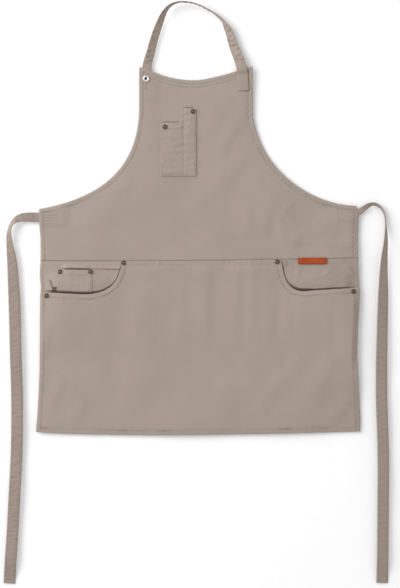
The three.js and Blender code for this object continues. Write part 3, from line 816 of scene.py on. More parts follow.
# The bib dips along the pen pocket's mouths, where the pocket stands open
def penDip(x, y):
    total = np.zeros(x.shape)
    for place in penMouth.values():
        middle = 0.5 * (place["left"] + place["right"])
        half = 0.5 * (place["right"] - place["left"])
        total += plateau(x - middle, half - 4.0, 4.0) * bell(y - place["y"] - 1.2, 1.5)
    return total


sewnEnd = {"x": 95.0, "y": 400.0, "lean": 0.06, "halfWidth": 12.6, "footY": 366.0, "width": 1.3}


# Dark on the bib beside and below the strap end that is sewn on its front
def sewnEndShade(x, y):
    middle = sewnEnd["x"] - sewnEnd["lean"] * (y - sewnEnd["y"])
    beside = bell(x - middle - sewnEnd["halfWidth"], sewnEnd["width"])
    below = bell(y - sewnEnd["footY"], sewnEnd["width"]) * plateau(x - middle, 9.0, 4.0)
    return 0.55 * beside * plateau(y - 390.0, 20.0, 4.0) + 0.5 * below


def bibHeights(x, y):
    under = bibField(x, y)
    relief = np.zeros(x.shape)
    crease = np.zeros(x.shape)
    least = np.full(x.shape, 1e9)
    for name, run in bibEdges.items():
        reach, along = edgeReach(x, y, run)
        rows = bib["neckRows"] if name == "neck" else (hem["stitchInset"],)
        width = bib["neckHem"] if name == "neck" else hem["width"]
        relief = np.where(reach < least, hemRelief(reach, along, rows, width), relief)
        # painted shade along the stitch rows, lighter at the neck
        line = stitchRowShade(reach, along, rows) * (0.6 if name == "neck" else 0.85)
        crease = np.where(reach < least, line, crease)
        least = np.minimum(least, reach)
    # painted shade beside and below the sewn strap end and in the dip along the pen pocket's mouths
    crease = crease + sewnEndShade(x, y) + 0.45 * penDip(x, y)
    under = under + hemDroop(least, x, y)
    top = under + cloth["thickness"] + relief + seamPucker(x, y) + tuckRise(x, y) * (y > seamY(x))
    top = top + dimples(x, y, rivetsOf("pen"), 0.4) * 0.5 - 1.1 * penDip(x, y)
    return top, under - hemUnder(least), least, relief, crease


def bibTop(x, y):
    return bibHeights(x, y)[0]


def makeBib():
    top, under, reach, relief, crease = bibHeights(bibX, bibY)
    foot = bibY - bibY[0]
    border = bordered(np.minimum(reach, np.clip(foot, 0.0, None)))
    top, under = roundedEdge(top, under, border)
    return sheetPiece("bib", bibX, bibY, top, under, cotton, "cotton", "bib_panel",
                      wear=edgeWear(reach, relief), crease=crease)


bibPiece = makeBib()
print("bib made")


# Hip pockets: scooped mouths in the skirt, and the backs behind them

mouth = {
    "left": {"side": (-341.7, -67.4), "bend": (-256.0, -71.6), "pull": (-194.0, -75.6),
             "rise": (-169.5, -46.0), "waistX": -165.0},
    "right": {"side": (347.2, -57.4), "bend": (243.0, -64.0), "pull": (198.0, -72.0),
              "rise": (185.0, -47.0), "waistX": 179.0},
    "lineSteps": 40,
    "bendSteps": 60,
}


def mouthRun(side):
    shape = mouth[side]
    top = (shape["waistX"], seamY(shape["waistX"]))
    return joinRuns(
        lineRun(shape["side"], shape["bend"], mouth["lineSteps"]),
        bendRun(shape["bend"], shape["pull"], shape["rise"], top, mouth["bendSteps"]),
        end=top,
    )


mouthRuns = {"left": mouthRun("left"), "right": mouthRun("right")}


# Distance above a mouth's edge, negative below it
def aboveMouth(x, y, side):
    run = mouthRuns[side]
    ordered = run if side == "left" else run[::-1]
    edgeY = np.interp(x, ordered[:, 0], ordered[:, 1])
    reach = edgeReach(x, y, run)[0]
    return np.where(y > edgeY, reach, -reach)


backs = {
    "depth": 235.0,
    "cornerRadius": 60.0,
    "left": {"sideX": -341.0, "innerX": -128.0},
    "right": {"sideX": 346.0, "innerX": 140.0},
    "columnPitch": 2.4,
    "finePitch": 0.9,
    "fineReach": 44.0,
    "bulge": 7.8,
    "wall": (1.9, 3.8),
    "band": 4.8,
}

coinMouthY = -19.4

facingFolds = {
    "left": [(-200, -40, 60, 20, 20, 14, 0.6)],
    "right": [(300, -40, -24, 34, 12, 9, 2), (326, -20, -48, 16, 9, 7, 1.7),
              (240, -38, 20, 26, 18, 14, 1.1), (262, -50, -8, 34, 9, 8, 1.2),
              (276, -26, 34, 14, 8, 7, 1), (214, -30, 76, 16, 9, 8, 1)],
}

# Hollows in the left facing beside the coin pocket, in the same columns
facingHollows = [(-309, -62.4, 90, 6.5, 9, 8, 5), (-316.4, -50, 108, 10, 4.5, 4.5, 2.4)]


def backNet(side):
    sideX = backs[side]["sideX"]
    innerX = backs[side]["innerX"]
    width = abs(innerX - sideX)
    bend = abs(mouth[side]["waistX"] - sideX)
    inset = np.concatenate([
        edgeInsets,
        np.arange(edgeInsets[-1], bend - backs["fineReach"], backs["columnPitch"])[1:],
        np.arange(bend - backs["fineReach"], bend + 4.0, backs["finePitch"]),
        np.linspace(bend + 4.0, width, 10),
    ])
    x = np.sort(sideX + inset * np.sign(innerX - sideX))
    past = np.maximum(0.0, backs["cornerRadius"] - np.abs(x - innerX))
    bottom = backs["cornerRadius"] - np.sqrt(backs["cornerRadius"] ** 2 - past ** 2) - backs["depth"]
    # few rows down in the pocket, many from its mouth to the seam
    drop = np.concatenate([edgeInsets[:5], np.arange(edgeInsets[4], 84.0, backs["finePitch"])[1:]])
    seam = seamY(x)[None, :]
    upper = seam - drop[::-1, None]
    lower = blendPoints(bottom[None, :], upper[:1], np.linspace(0.0, 1.0, 26)[:-1, None])
    y = np.concatenate([lower, upper])
    return x[None, :] + wander(y, side) * (1.0 - smooth(np.abs(x - sideX), 0.0, 90.0))[None, :], y


def sideReach(x, y, side):
    return np.abs(x - backs[side]["sideX"] - wander(y, side))


def backUnder(x, y):
    side = "left" if np.mean(x) < 0.0 else "right"
    above = aboveMouth(x, y, side)
    down = belowSeam(x, y)
    inwards = sideReach(x, y, side)
    # the facing stands up beyond a narrow slot along the mouth, wider where a pocket sags open
    slot = 1.0 + 0.8 * plateau(x - 213.0, 18.0, 22.0) + 0.6 * plateau(x + 276.0, 44.0, 26.0)
    slot = slot * (1.0 - 0.5 * smooth(y, -60.0, -44.0))
    wall = smooth(above / slot, *backs["wall"])
    tilt = (1.0 - 0.45 * smooth(x, 210.0, 330.0)) * (1.0 - 0.7 * plateau(x + 174.0, 10.0, 58.0))
    bulge = backs["bulge"] * wall * tilt * smooth(down, 10.0, 52.0) * smooth(inwards, 6.0, 34.0)
    soft = foldRise(x, y, facingFolds[side]) + 0.7 * crumple(x, y, 41, 48.0) + 0.3 * crumple(x, y, 43, 17.0)
    if side == "left":
        soft = soft - foldRise(x, y, facingHollows)
        # the facing's upper band ends in a folded edge, level with the coin pocket's mouth
        edge = y - coinMouthY + 0.02 * (x + 265.0)
        height = backs["band"] * (plateau(x + 263.0, 18.0, 16.0) + 0.45 * plateau(x + 200.0, 26.0, 14.0))
        band = height * smooth(edge, 2.4, 4.4)
        soft = soft + band * (1.0 - smooth(edge, 5.0, 14.0))
    soft = soft * wall * smooth(down, 1.0, 8.0)
    return ground(x, y) + cloth["thickness"] + lapRise(x, y) + bulge + soft


def backHeights(x, y, side):
    under = backUnder(x, y)
    down = belowSeam(x, y)
    sideEdge = sideReach(x, y, side)
    relief = hemRelief(sideEdge, y + 300.0, strength=0.5) * smooth(down, 0.0, 6.0)
    relief = relief * smooth(aboveMouth(x, y, side), 0.0, 4.0)
    seam = hemRelief(np.clip(down, 0.0, None), x + 400.0, (waist["stitchDrop"],), 8.0, 0.3)
    top = under + cloth["thickness"] + np.where(down < sideEdge, seam, relief)
    top = top + 0.5 * dimples(x, y, rivetsOf("coin"), 0.3)
    return top, under, np.minimum(sideEdge, np.clip(down, 0.0, None))


# Where each slot is darkest: x, half reach and fade along x, and how far it rises and widens there
slotShade = {
    "left": {"x": -281.0, "reach": 36.0, "fade": 30.0, "rise": 0.0, "widen": 0.0},
    "right": {"x": 211.0, "reach": 16.0, "fade": 30.0, "rise": 0.5, "widen": 0.9},
    "above": 1.6,
    "width": 2.2,
}


# Painted shade deep in the slot along a mouth, in the hollows, in the slit above the coin pocket's mouth,
# along the facing band's folded edge and at a tuck and a pinch on the right; the right facing is also a
# little darker all over
def backShade(x, y, side):
    place = slotShade[side]
    deepShade = plateau(x - place["x"], place["reach"], place["fade"])
    away = aboveMouth(x, y, side) - slotShade["above"] - place["rise"] * deepShade
    width = slotShade["width"] + place["widen"] * deepShade
    slot = bell(away, width) * (0.4 + 0.75 * deepShade)
    slot = slot * smooth(belowSeam(x, y), 26.0, 56.0) * smooth(sideReach(x, y, side), 12.0, 28.0)
    slot = slot * (1.0 - 0.9 * smooth(y, -60.0, -44.0))
    if side == "left":
        coinLine = bell(y - coinMouthY - 1.8, 1.5) * plateau(x + 263.0, 20.0, 14.0)
        bandLine = bell(y + 18.8, 1.3) * smooth(x, -226.0, -176.0)
        shade = 0.6 * coinLine + 0.5 * bandLine + foldRise(x, y, facingHollows) / 3.2
    else:
        tuck = np.exp(-((x - 182.2) / 2.2) ** 2 - ((y + 15.0) / 5.0) ** 2)
        pinch = bell(x - 190.0, 1.6) * plateau(y + 3.0, 6.0, 8.0)
        shade = 0.09 + 0.8 * tuck + 0.4 * pinch
    return np.clip(0.85 * slot + shade, 0.0, 1.0)


def makeBack(side):
    x, y = backNet(side)
    top, under, reach = backHeights(x, y, side)
    border = bordered(np.minimum(reach, np.minimum(y - y[0], np.abs(x - backs[side]["innerX"]))))
    sideHem = hemUnder(sideReach(x, y, side)) * smooth(belowSeam(x, y), 12.0, 50.0)
    top, under = roundedEdge(top, under - sideHem, border, 1.8)
    name = "hip_pocket_" + side
    return sheetPiece(name, x, y, top, under, cotton, "cotton", "hip_pocket_back_" + side,
                      wear=edgeWear(reach, 0.0 * x), crease=backShade(x, y, side))


backPieces = {side: makeBack(side) for side in ("left", "right")}
print("pocket backs made")


# Skirt

skirt = {
    "hemLeft": (-348.0, -368.8),
    "hemRight": (348.5, -367.8),
    "hemSag": 7.0,
    "columnPitch": 2.5,
    "rows": 96,
    "insetHeight": 300.0,
    "margin": 6.0,
    "fade": 80.0,
    "crumple": 1.0,
}

# How far each mouth stands open: x, half reach and fade along x, y where it starts and is full, height
gapes = {
    "left": {"x": -250.0, "reach": 34.0, "fade": 66.0, "closedY": -226.0, "fullY": -110.0, "height": 4.8},
    "right": {"x": 259.0, "reach": 34.0, "fade": 54.0, "closedY": -226.0, "fullY": -104.0, "height": 4.8},
}

skirtFolds = [
    (14, -66, 90.5, 116, 42, 25, 1.7),
    (80, -84, 88.5, 112, 46, 25, 1.5),
    (117, -84, 91, 104, 28, 20, 1),
    (150, -120, 88, 80, 28, 22, 0.9),
    (186, -110, 96, 50, 26, 20, 1.2),
    (-40, -110, 90, 60, 50, 40, 0.8),
    (-122, -190, 88, 110, 60, 56, 1.2),
    (-214, -232, 96, 80, 44, 40, 1),
    (236, -300, 74, 60, 70, 70, 2.8),
    (150, -290, 62, 60, 30, 26, 1.3),
    (196, -246, 58, 60, 30, 26, 1.4),
    (268, -250, 62, 60, 34, 28, 1.7),
    (306, -318, 52, 40, 28, 24, 1.8),
    (332, -150, 88.5, 76, 44, 13, 4.4),
    (-330, -168, 84, 40, 16, 18, 1.8),
    (-308, -286, 72, 40, 24, 22, 1.5),
    (-262, -330, 60, 34, 24, 22, 1.1),
    (60, -300, 84, 50, 36, 30, 1),
]


def skirtNet():
    left = mouthRuns["left"]
    right = mouthRuns["right"][::-1]
    ends = (left[-1][0], right[0][0])
    waistX = np.linspace(*ends, 160)[1:-1]
    top = np.concatenate([left, np.stack([waistX, seamY(waistX)], axis=1), right])
    length = runLength(top)[-1]
    top = evenly(top, closeEnds(edgeInsets, length, int(length / skirt["columnPitch"])))
    across = (top[:, 0] - top[0, 0]) / (top[-1, 0] - top[0, 0])
    hemLine = blendPoints(np.array(skirt["hemLeft"]), np.array(skirt["hemRight"]), across[:, None])
    hemLine[:, 1] -= skirt["hemSag"] * np.sin(math.pi * across ** 0.75)
    rows = closeEnds(edgeInsets / skirt["insetHeight"], 1.0, skirt["rows"])
    net = blendPoints(hemLine[None, :, :], top[None, :, :], rows[:, None, None])
    x, y = net[..., 0], net[..., 1]
    return x + wander(y, "left") * (1.0 - across) ** 4 + wander(y, "right") * across ** 4, y


skirtX, skirtY = skirtNet()
skirtBorder = netEdges(skirtX, skirtY)
skirtEdges = {
    "left": skirtBorder["left"],
    "right": skirtBorder["right"],
    "hem": skirtBorder["foot"],
    "mouth_left": mouthRuns["left"],
    "mouth_right": mouthRuns["right"],
}


def overBack(x, y):
    inwards = np.where(x < 0.0, x - backs["left"]["innerX"], backs["right"]["innerX"] - x)
    across = 1.0 - smooth(inwards, skirt["margin"], skirt["margin"] + skirt["fade"])
    down = 1.0 - smooth(-backs["depth"] - y, skirt["margin"], skirt["margin"] + skirt["fade"])
    return (cloth["thickness"] + layer) * across * down


def gapeRise(x, y):
    total = np.zeros(x.shape)
    for gape in gapes.values():
        down = smooth(y, gape["closedY"], gape["fullY"])
        total += gape["height"] * plateau(x - gape["x"], gape["reach"], gape["fade"]) * down
    return total


def skirtField(x, y):
    clear = smooth(belowSeam(x, y), 3.0, 26.0)
    soft = softRise(x, y, skirtFolds, skirt["crumple"], 51, 105.0)
    base = ground(x, y) + cloth["thickness"] + lapRise(x, y)
    return base + overBack(x, y) + gapeRise(x, y) + soft * clear


def skirtHeights(x, y):
    under = skirtField(x, y)
    down = np.clip(belowSeam(x, y), 0.0, None)
    relief = hemRelief(down, x + 400.0, (waist["stitchDrop"],), 8.0, 0.3)
    # painted shade along the waist seam's stitch row and, below, along each edge's stitch row
    crease = 0.5 * stitchRowShade(down, x + 400.0, (waist["stitchDrop"],))
    least = down
    hemmed = np.full(x.shape, 1e9)
    for name, run in skirtEdges.items():
        reach, along = edgeReach(x, y, run)
        rows = (hem["mouthInset"] if name.startswith("mouth") else hem["stitchInset"],)
        relief = np.where(reach < least, hemRelief(reach, along, rows), relief)
        line = stitchRowShade(reach, along, rows)
        # along the hem the painted shade is broader and comes in patches
        if name == "hem":
            patchyShade = np.clip(0.4 + 0.9 * np.sin(along / 29.0 + 2.0 * np.sin(along / 67.0)), 0.05, 1.2)
            line = patchyShade * stitchRowShade(reach, along, rows, 2.6)
        crease = np.where(reach < least, line, crease)
        least = np.minimum(least, reach)
        hemmed = np.minimum(hemmed, reach)
    under = under + hemDroop(hemmed, x, y) * smooth(down, 20.0, 60.0)
    top = under + cloth["thickness"] + relief + seamPucker(x, y) + tuckRise(x, y)
    top = top + 0.5 * dimples(x, y, rivetsOf("hip"))
    return top, under - hemUnder(hemmed), least, relief, crease


def skirtTop(x, y):
    return skirtHeights(x, y)[0]


def makeSkirt():
    top, under, reach, relief, crease = skirtHeights(skirtX, skirtY)
    top, under = roundedEdge(top, under, bordered(reach))
    return sheetPiece("skirt", skirtX, skirtY, top, under, cotton, "cotton", "skirt_panel",
                      wear=edgeWear(reach, relief), crease=crease)


skirtPiece = makeSkirt()
print("skirt made")


# Patch pockets

coin = {
    "left": -304.0,
    "right": -229.0,
    "topY": coinMouthY,
    "bottomY": -98.0,
    "lift": 2.6,
    "liftFromY": -44.0,
    "hem": 12.0,
    "edgeStitch": 3.0,
    "columns": 44,
    "rows": 48,
}


def coinNet():
    width = coin["right"] - coin["left"]
    height = coin["topY"] - coin["bottomY"]
    near = edgeInsets[:8]
    x = coin["left"] + closeEnds(near, width, coin["columns"])
    y = coin["bottomY"] + closeEnds(near, height, coin["rows"])
    return np.meshgrid(x, y)


def coinHeights(x, y):
    bulge = np.sin(math.pi * np.clip((x - coin["left"]) / (coin["right"] - coin["left"]), 0.0, 1.0))
    lift = coin["lift"] * bulge * smooth(y, coin["liftFromY"], coin["topY"])
    under = backHeights(x, np.minimum(y, coin["topY"] - 1.5), "left")[0] - cloth["gap"] + lift
    sides = np.minimum(x - coin["left"], coin["right"] - x)
    topEdge = coin["topY"] - y
    seam = hemRelief(sides, y + 200.0, (coin["edgeStitch"],), 6.0, 0.4)
    band = hemRelief(topEdge, x + 400.0, (coin["hem"],), coin["hem"] + 1.0, 0.6)
    relief = np.where(topEdge < sides, band, seam)
    # painted shade along the coin pocket's stitch rows; the painted shade of the mouth's slot carries on
    # over its lower part
    crease = 0.5 * stitchRowShade(sides, y + 200.0, (coin["edgeStitch"],))
    crease = np.where(topEdge < sides, 0.5 * stitchRowShade(topEdge, x + 400.0, (coin["hem"],)), crease)
    crease = np.where(y < coin["liftFromY"], np.maximum(crease, backShade(x, y, "left")), crease)
    reach = np.minimum(sides, np.minimum(topEdge, y - coin["bottomY"]))
    top = under + cloth["thickness"] + relief + 0.3 * crumple(x, y, 81, 26.0)
    top = top + dimples(x, y, rivetsOf("coin"), 0.6) * 0.5
    return top, under, np.clip(reach, 0.0, None), relief, crease


def coinTop(x, y):
    return coinHeights(x, y)[0]


def makeCoin():
    x, y = coinNet()
    top, under, reach, relief, crease = coinHeights(x, y)
    top, under = roundedEdge(top, under, reach, 1.3)
    return sheetPiece("coin_patch", x, y, top, under, cotton, "cotton", "coin_pocket",
                      wear=edgeWear(reach, relief), crease=crease)


pen = {
    "left": -81.6,
    "right": -4.6,
    "bottomY": 183.2,
    "lowTopY": penMouth["low"]["y"],
    "tallTopY": penMouth["tall"]["y"],
    "stepX": -37.5,
    "stepLean": 3.0,
    "innerRadius": 9.0,
    "outerRadius": 5.0,
    "divideX": -32.0,
    "lift": 1.1,
    "edgeStitch": 3.2,
    "hem": 14.0,
    "columnPitch": 1.7,
    "rows": 74,
    "insetHeight": 130.0,
}


def penTopRun():
    inner = pen["stepX"] - pen["stepLean"]
    low = pen["lowTopY"]
    tall = pen["tallTopY"]
    outer = pen["outerRadius"]
    foot = (inner - pen["innerRadius"], low)
    riseStart = (pen["stepX"] - 0.5 * pen["stepLean"], low + pen["innerRadius"])
    riseEnd = (pen["stepX"], tall - outer)
    shoulder = (pen["stepX"] + outer, tall)
    corner = (pen["right"] - outer, tall)
    end = (pen["right"], tall - outer)
    return joinRuns(
        lineRun((pen["left"], low), foot, 20),
        bendRun(foot, (inner, low), (inner + 0.5, low + 3.0), riseStart, 12),
        lineRun(riseStart, riseEnd, 12),
        bendRun(riseEnd, (pen["stepX"], tall - 1.0), (pen["stepX"] + 1.0, tall), shoulder, 10),
        lineRun(shoulder, corner, 20),
        bendRun(corner, (pen["right"] - 1.0, tall), (pen["right"], tall - 1.0), end, 10),
        end=end,
    )


def penNet():
    run = penTopRun()
    length = runLength(run)[-1]
    near = edgeInsets[:8]
    top = evenly(run, closeEnds(near, length, int(length / pen["columnPitch"])))
    rows = closeEnds(near / pen["insetHeight"], 1.0, pen["rows"])
    x = np.broadcast_to(top[None, :, 0], (len(rows), len(top))).copy()
    y = blendPoints(pen["bottomY"], top[None, :, 1], rows[:, None])
    return x, y


penX, penY = penNet()
penBorder = netEdges(penX, penY)
penEdges = {name: penBorder[name] for name in ("top", "left", "right", "foot")}


def penHeights(x, y):
    low = np.sin(math.pi * np.clip((x - pen["left"]) / (pen["divideX"] - pen["left"]), 0.0, 1.0))
    tall = np.sin(math.pi * np.clip((x - pen["divideX"]) / (pen["right"] - pen["divideX"]), 0.0, 1.0))
    bulge = np.where(x < pen["divideX"], low, tall)
    under = bibTop(x, y) + 0.5 * layer + pen["lift"] * bulge * smooth(y, pen["bottomY"], pen["lowTopY"])
    relief = np.zeros(x.shape)
    crease = np.zeros(x.shape)
    least = np.full(x.shape, 1e9)
    for name, run in penEdges.items():
        reach, along = edgeReach(x, y, run)
        rows = (pen["hem"] if name == "top" else pen["edgeStitch"],)
        relief = np.where(reach < least, hemRelief(reach, along, rows, 6.0, 0.5), relief)
        # painted shade along the pen pocket's stitch rows
        crease = np.where(reach < least, 0.5 * stitchRowShade(reach, along, rows), crease)
        least = np.minimum(least, reach)
    divide = 0.5 * bell(x - pen["divideX"], 1.5) * (y > pen["bottomY"] + 2.0)
    wrinkle = 0.42 * np.sin(y / 2.5 + 1.2 * np.sin(x / 13.0) + 0.9 * np.sin(y / 17.0))
    wrinkle = wrinkle * smooth(crumple(x, y, 91, 30.0), 0.1, 0.7) + 0.25 * crumple(x, y, 93, 14.0)
    top = under + cloth["thickness"] + relief - divide + wrinkle * smooth(least, 1.0, 8.0)
    top = top + dimples(x, y, rivetsOf("pen"), 0.6) * 0.5
    return top, under - hemUnder(least, 8.0), least, relief, crease


def penTop(x, y):
    return penHeights(x, y)[0]


def makePen():
    top, under, reach, relief, crease = penHeights(penX, penY)
    reach = bordered(reach)
    top, under = roundedEdge(top, under, reach, 1.5)
    return sheetPiece("pen_patch", penX, penY, top, under, cotton, "cotton", "pen_pocket",
                      wear=edgeWear(reach, relief), crease=crease)


coinPiece = makeCoin()
penPiece = makePen()
print("patch pockets made")


# Straps: routes of x, y, roll in degrees, rise and share of the full width.
# Roll turns the left-hand edge up.

neckStrap = {
    "width": 24.0,
    "hover": 8.6,
    "texture": 1.8,
    # y of the painted shadow band across the strap, below the bib's top edge
    "shadowBandY": 407.0,
    "route": [
        (-114, 363, 0, 0.2, 1), (-113.2, 393, 0, 0.2, 1), (-111.6, 415, 2, 0.2, 0.84),
        (-109.2, 429, 9, 0.2, 0.81), (-103.6, 448, 15, 0, 0.78), (-95.8, 477, 19, 0, 0.74),
        (-83.8, 512, 27, 0, 0.68), (-68.2, 543, 62, 0, 0.62), (-52, 555, 78, 0, 0.52),
        (-31, 558.2, 85, 0, 0.46), (-5, 553.6, 86, 0, 0.45), (21, 541.6, 85, -3, 0.46),
        (36, 532.6, 82, -5.2, 0.5), (51, 519.4, 72, -7.2, 0.6), (60, 505, 52, -8.2, 0.75),
        (66.2, 493, 39, -8.2, 0.82), (76.4, 462, 27, -8, 0.9), (86, 438, 20, -2, 0.92),
        (92, 420, 8, 3, 0.94), (95, 400, 0, 2.9, 1), (97, 367, 0, 2.9, 1),
    ],
}
leftTie = {
    "width": 25.5,
    "hover": 11.0,
    "texture": 0.7,
    "shadowBandY": 0.0,
    "route": [
        (-288, 93.5, 0, 0, 1), (-318, 94, 0, 0, 1), (-334, 94.2, 0, 0, 0.92),
        (-346, 94.4, -8, 0, 0.8), (-366, 94.5, -10, 0, 0.78), (-378, 94, -8, 0, 0.72),
        (-388, 91.5, 0, 0, 0.6), (-397, 86, 26, 0, 0.5), (-403.5, 77.5, 44, 0, 0.45),
        (-407.4, 66, 40, 0, 0.45), (-408.4, 52, 18, 0, 0.48), (-406.6, 34, 2, 0, 0.58),
        (-403.6, 14, -5, 0, 0.74), (-401, -8, -7, 0, 0.86), (-398.6, -50, -8, 0, 0.95),
        (-396.8, -85, -8, 0, 1), (-393.7, -195, -9, 0, 1), (-391, -300, -8, 0, 1),
        (-391.5, -400, -6, 0, 1), (-397, -515, -7, 0, 1), (-403, -620, -7, 0, 1),
        (-408.5, -696, -6, 0, 1),
    ],
}
rightTie = {
    "width": 25.5,
    "hover": 8.6,
    "texture": 0.7,
    "shadowBandY": 0.0,
    "route": [
        (301, 104, 0, 0, 1), (326, 104.2, 0, 0, 0.96), (338, 104.6, 0, 0, 0.7),
        (347, 106.6, 4, 0, 0.52), (356, 112.6, 14, 0, 0.5), (365, 118.8, 34, 0, 0.48),
        (374, 122.4, 54, -3, 0.47), (382.5, 122, 62, -5, 0.46), (393, 115.5, 72, -7, 0.44),
        (400.4, 103, 86, -7, 0.4), (403.6, 84, 98, -7, 0.4), (404.4, 62, 120, -5, 0.46),
        (403.4, 40, 138, 0, 0.5), (400.6, 8, 148, 0, 0.66), (399, -20, 152, 0, 0.78),
        (398, -70, 160, 0, 0.93), (396.4, -130, 163, 0, 0.98), (394.8, -210, 168, 0, 1),
        (394.8, -300, 171, 0, 1), (398.5, -420, 172, 0, 1), (398, -520, 171, 0, 1),
        (396.5, -695, 172, 0, 1),
    ],
}
strap = {
    "thickness": 2.2,
    "pitch": 1.5,
    "faceSteps": 13,
    "stitchInset": 3.4,
    "groove": 0.3,
    "ripple": 0.5,
    "slub": 0.26,
    "slubPitch": 7.6,
    "slubStretch": 0.35,
    "sunk": 0.22,
    "hoverPitch": 170.0,
    "hoverFade": 50.0,
    "sewnFade": 14.0,
    "barWidth": 2.4,
    "shadowBand": 0.42,
}


# A smooth curve through a route, with roll, rise and width carried along
def strapPath(route, pitch):
    rows = np.array(route)
    rows = np.concatenate([[2.0 * rows[0] - rows[1]], rows, [2.0 * rows[-1] - rows[-2]]])
    knots = np.linalg.norm(np.diff(rows[:, :2], axis=0), axis=1) ** 0.5
    t = np.linspace(0.0, 1.0, 40, endpoint=False)[:, None]
    parts = []
    for k in range(1, len(rows) - 2):
        before, span, after = knots[k - 1], knots[k], knots[k + 1]
        a, b, c, d = rows[k - 1:k + 3]
        leave = span * ((b - a) / before - (c - a) / (before + span) + (c - b) / span)
        arrive = span * ((c - b) / span - (d - b) / (span + after) + (d - c) / after)
        bow = b * (2 * t ** 3 - 3 * t ** 2 + 1) + leave * (t ** 3 - 2 * t ** 2 + t)
        parts.append(bow + c * (3 * t ** 2 - 2 * t ** 3) + arrive * (t ** 3 - t ** 2))
    fine = np.concatenate([*parts, [rows[-2]]])
    travelled = runLength(fine[:, :2])
    places = np.linspace(0.0, travelled[-1], int(travelled[-1] / pitch))
    return np.stack([np.interp(places, travelled, fine[:, k]) for k in range(5)], axis=1), places


# How free a strap is of the cloth that it is sewn to
def strapFree(x, y, fade):
    return smooth(np.maximum(np.abs(x) - waist["halfWidth"], y - bib["topY"]), 0.0, fade)


# A strap follows the cloth where it is sewn, lies in long waves where it is free and ends on the floor
def strapHover(x, y, places, hover):
    phase = 2.0 * math.pi * places / strap["hoverPitch"] + 1.1 * np.sin(places / 97.0)
    wave = (0.9 + 0.1 * np.sin(phase)) * smooth(places[-1] - places, 0.0, 60.0)
    return blendPoints(ground(x, y), hover * wave, strapFree(x, y, strap["hoverFade"]))


def strapFrames(shape, pitch):
    width = shape["width"]
    path, places = strapPath(shape["route"], pitch)
    ahead = unitRows(np.gradient(path[:, :2], axis=0))
    roll = np.radians(path[:, 2])
    across = np.stack([-ahead[:, 1] * np.cos(roll), ahead[:, 0] * np.cos(roll), np.sin(roll)], axis=1)
    onward = np.concatenate([ahead, np.zeros((len(ahead), 1))], axis=1)
    up = np.cross(onward, across)
    share = np.clip(path[:, 4], 0.4, 1.0)
    rise = np.maximum(path[:, 3] + strapHover(path[:, 0], path[:, 1], places, shape["hover"]), 0.3)
    z = rise + 0.5 * width * share * np.abs(across[:, 2]) + 0.5 * strap["thickness"] * np.abs(up[:, 2])
    middle = np.concatenate([path[:, :2], z[:, None]], axis=1)
    return middle, across * share[:, None], up, places


# Slubs and puckers of a washed strap, longer across it than along it
def strapSlub(offset, places, seed):
    offset, places = np.broadcast_arrays(offset, places)
    return crumple(strap["slubStretch"] * offset, places, 200 + seed, strap["slubPitch"])


def strapRelief(offset, places, free, shape, seed):
    edge = 0.5 * shape["width"] - np.abs(offset)
    groove = strap["groove"] * bell(edge - strap["stitchInset"], 0.9)
    ripple = 2.0 * strapSlub(offset, places, seed) - 1.0
    return strap["ripple"] * shape["texture"] * ripple * (0.2 + 0.8 * free) - groove


def makeStrap(name, shape, node, seed):
    width = shape["width"]
    middle, across, up, places = strapFrames(shape, strap["pitch"])
    turn = np.linspace(0.0, math.pi, strap["faceSteps"])
    side = np.sign(np.cos(turn)) * np.abs(np.cos(turn)) ** 0.75
    ends = np.minimum(places, places[-1] - places)
    nose = np.sqrt(1.0 - (1.0 - np.clip(ends / 1.1, 0.0, 1.0)) ** 2)
    rounded = np.clip(1.0 - np.abs(side) ** 9, 0.0, 1.0) ** 0.5
    offsets = 0.5 * width * side
    free = strapFree(middle[:, 0], middle[:, 1], strap["sewnFade"])
    relief = strapRelief(offsets[None, :], places[:, None], free[:, None], shape, seed)
    face = (0.5 * strap["thickness"] * rounded[None, :] + relief * rounded[None, :]) * nose[:, None]
    back = -0.5 * strap["thickness"] * rounded[None, :] * nose[:, None]
    loop = np.concatenate([face, back[:, -2:0:-1]], axis=1)
    reach = np.concatenate([offsets, offsets[-2:0:-1]])
    points = middle[:, None, :] + across[:, None, :] * reach[None, :, None]
    points = points + up[:, None, :] * loop[..., None]
    count = points.shape[1]
    index = np.arange(points.shape[0] * count).reshape(points.shape[:2])
    ringed = np.concatenate([index, index[:, :1]], axis=1)
    faces = gridQuads(ringed)[:, ::-1].tolist()
    faces.append(index[0].tolist())
    faces.append(index[-1, ::-1].tolist())
    edge = 0.5 * width - np.abs(reach)
    # lighter along the edges and where the strap is sewn down
    wear = np.maximum(bell(edge, 1.6)[None, :], 0.4 * (1.0 - free)[:, None])
    # painted shade in the hollows between slubs and along the sunk stitch rows, and a painted shadow band
    # across the sewn strap just below the bib's top edge
    hollow = 1.0 - smooth(strapSlub(reach[None, :], places[:, None], seed), 0.0, 0.55)
    sunk = bell(edge - strap["stitchInset"], 1.2)
    crease = shape["texture"] * strap["slub"] * hollow * free[:, None]
    crease = crease + strap["sunk"] * sunk[None, :] * (0.4 + 0.6 * free)[:, None]
    shadowBand = bell(middle[:, 1] - shape["shadowBandY"], strap["barWidth"]) * (1.0 - free)
    crease = crease + strap["shadowBand"] * shadowBand[:, None]
    flat = points.reshape(-1, 3)
    piece = makePiece(name, placed(*flat.T), faces, strapCotton, "strap_cotton", node,
                      wear=wear.ravel(), crease=crease.ravel())
    unrolled = piece.data.uv_layers.new(name="along")
    corner = np.zeros(len(piece.data.loops), int)
    piece.data.loops.foreach_get("vertex_index", corner)
    u = np.broadcast_to(reach[None, :], index.shape).ravel()[corner] / metre
    v = np.broadcast_to(places[:, None], index.shape).ravel()[corner] / metre
    unrolled.data.foreach_set("uv", np.stack([u, v], axis=1).ravel().astype(np.float32))
    return piece, places[-1]


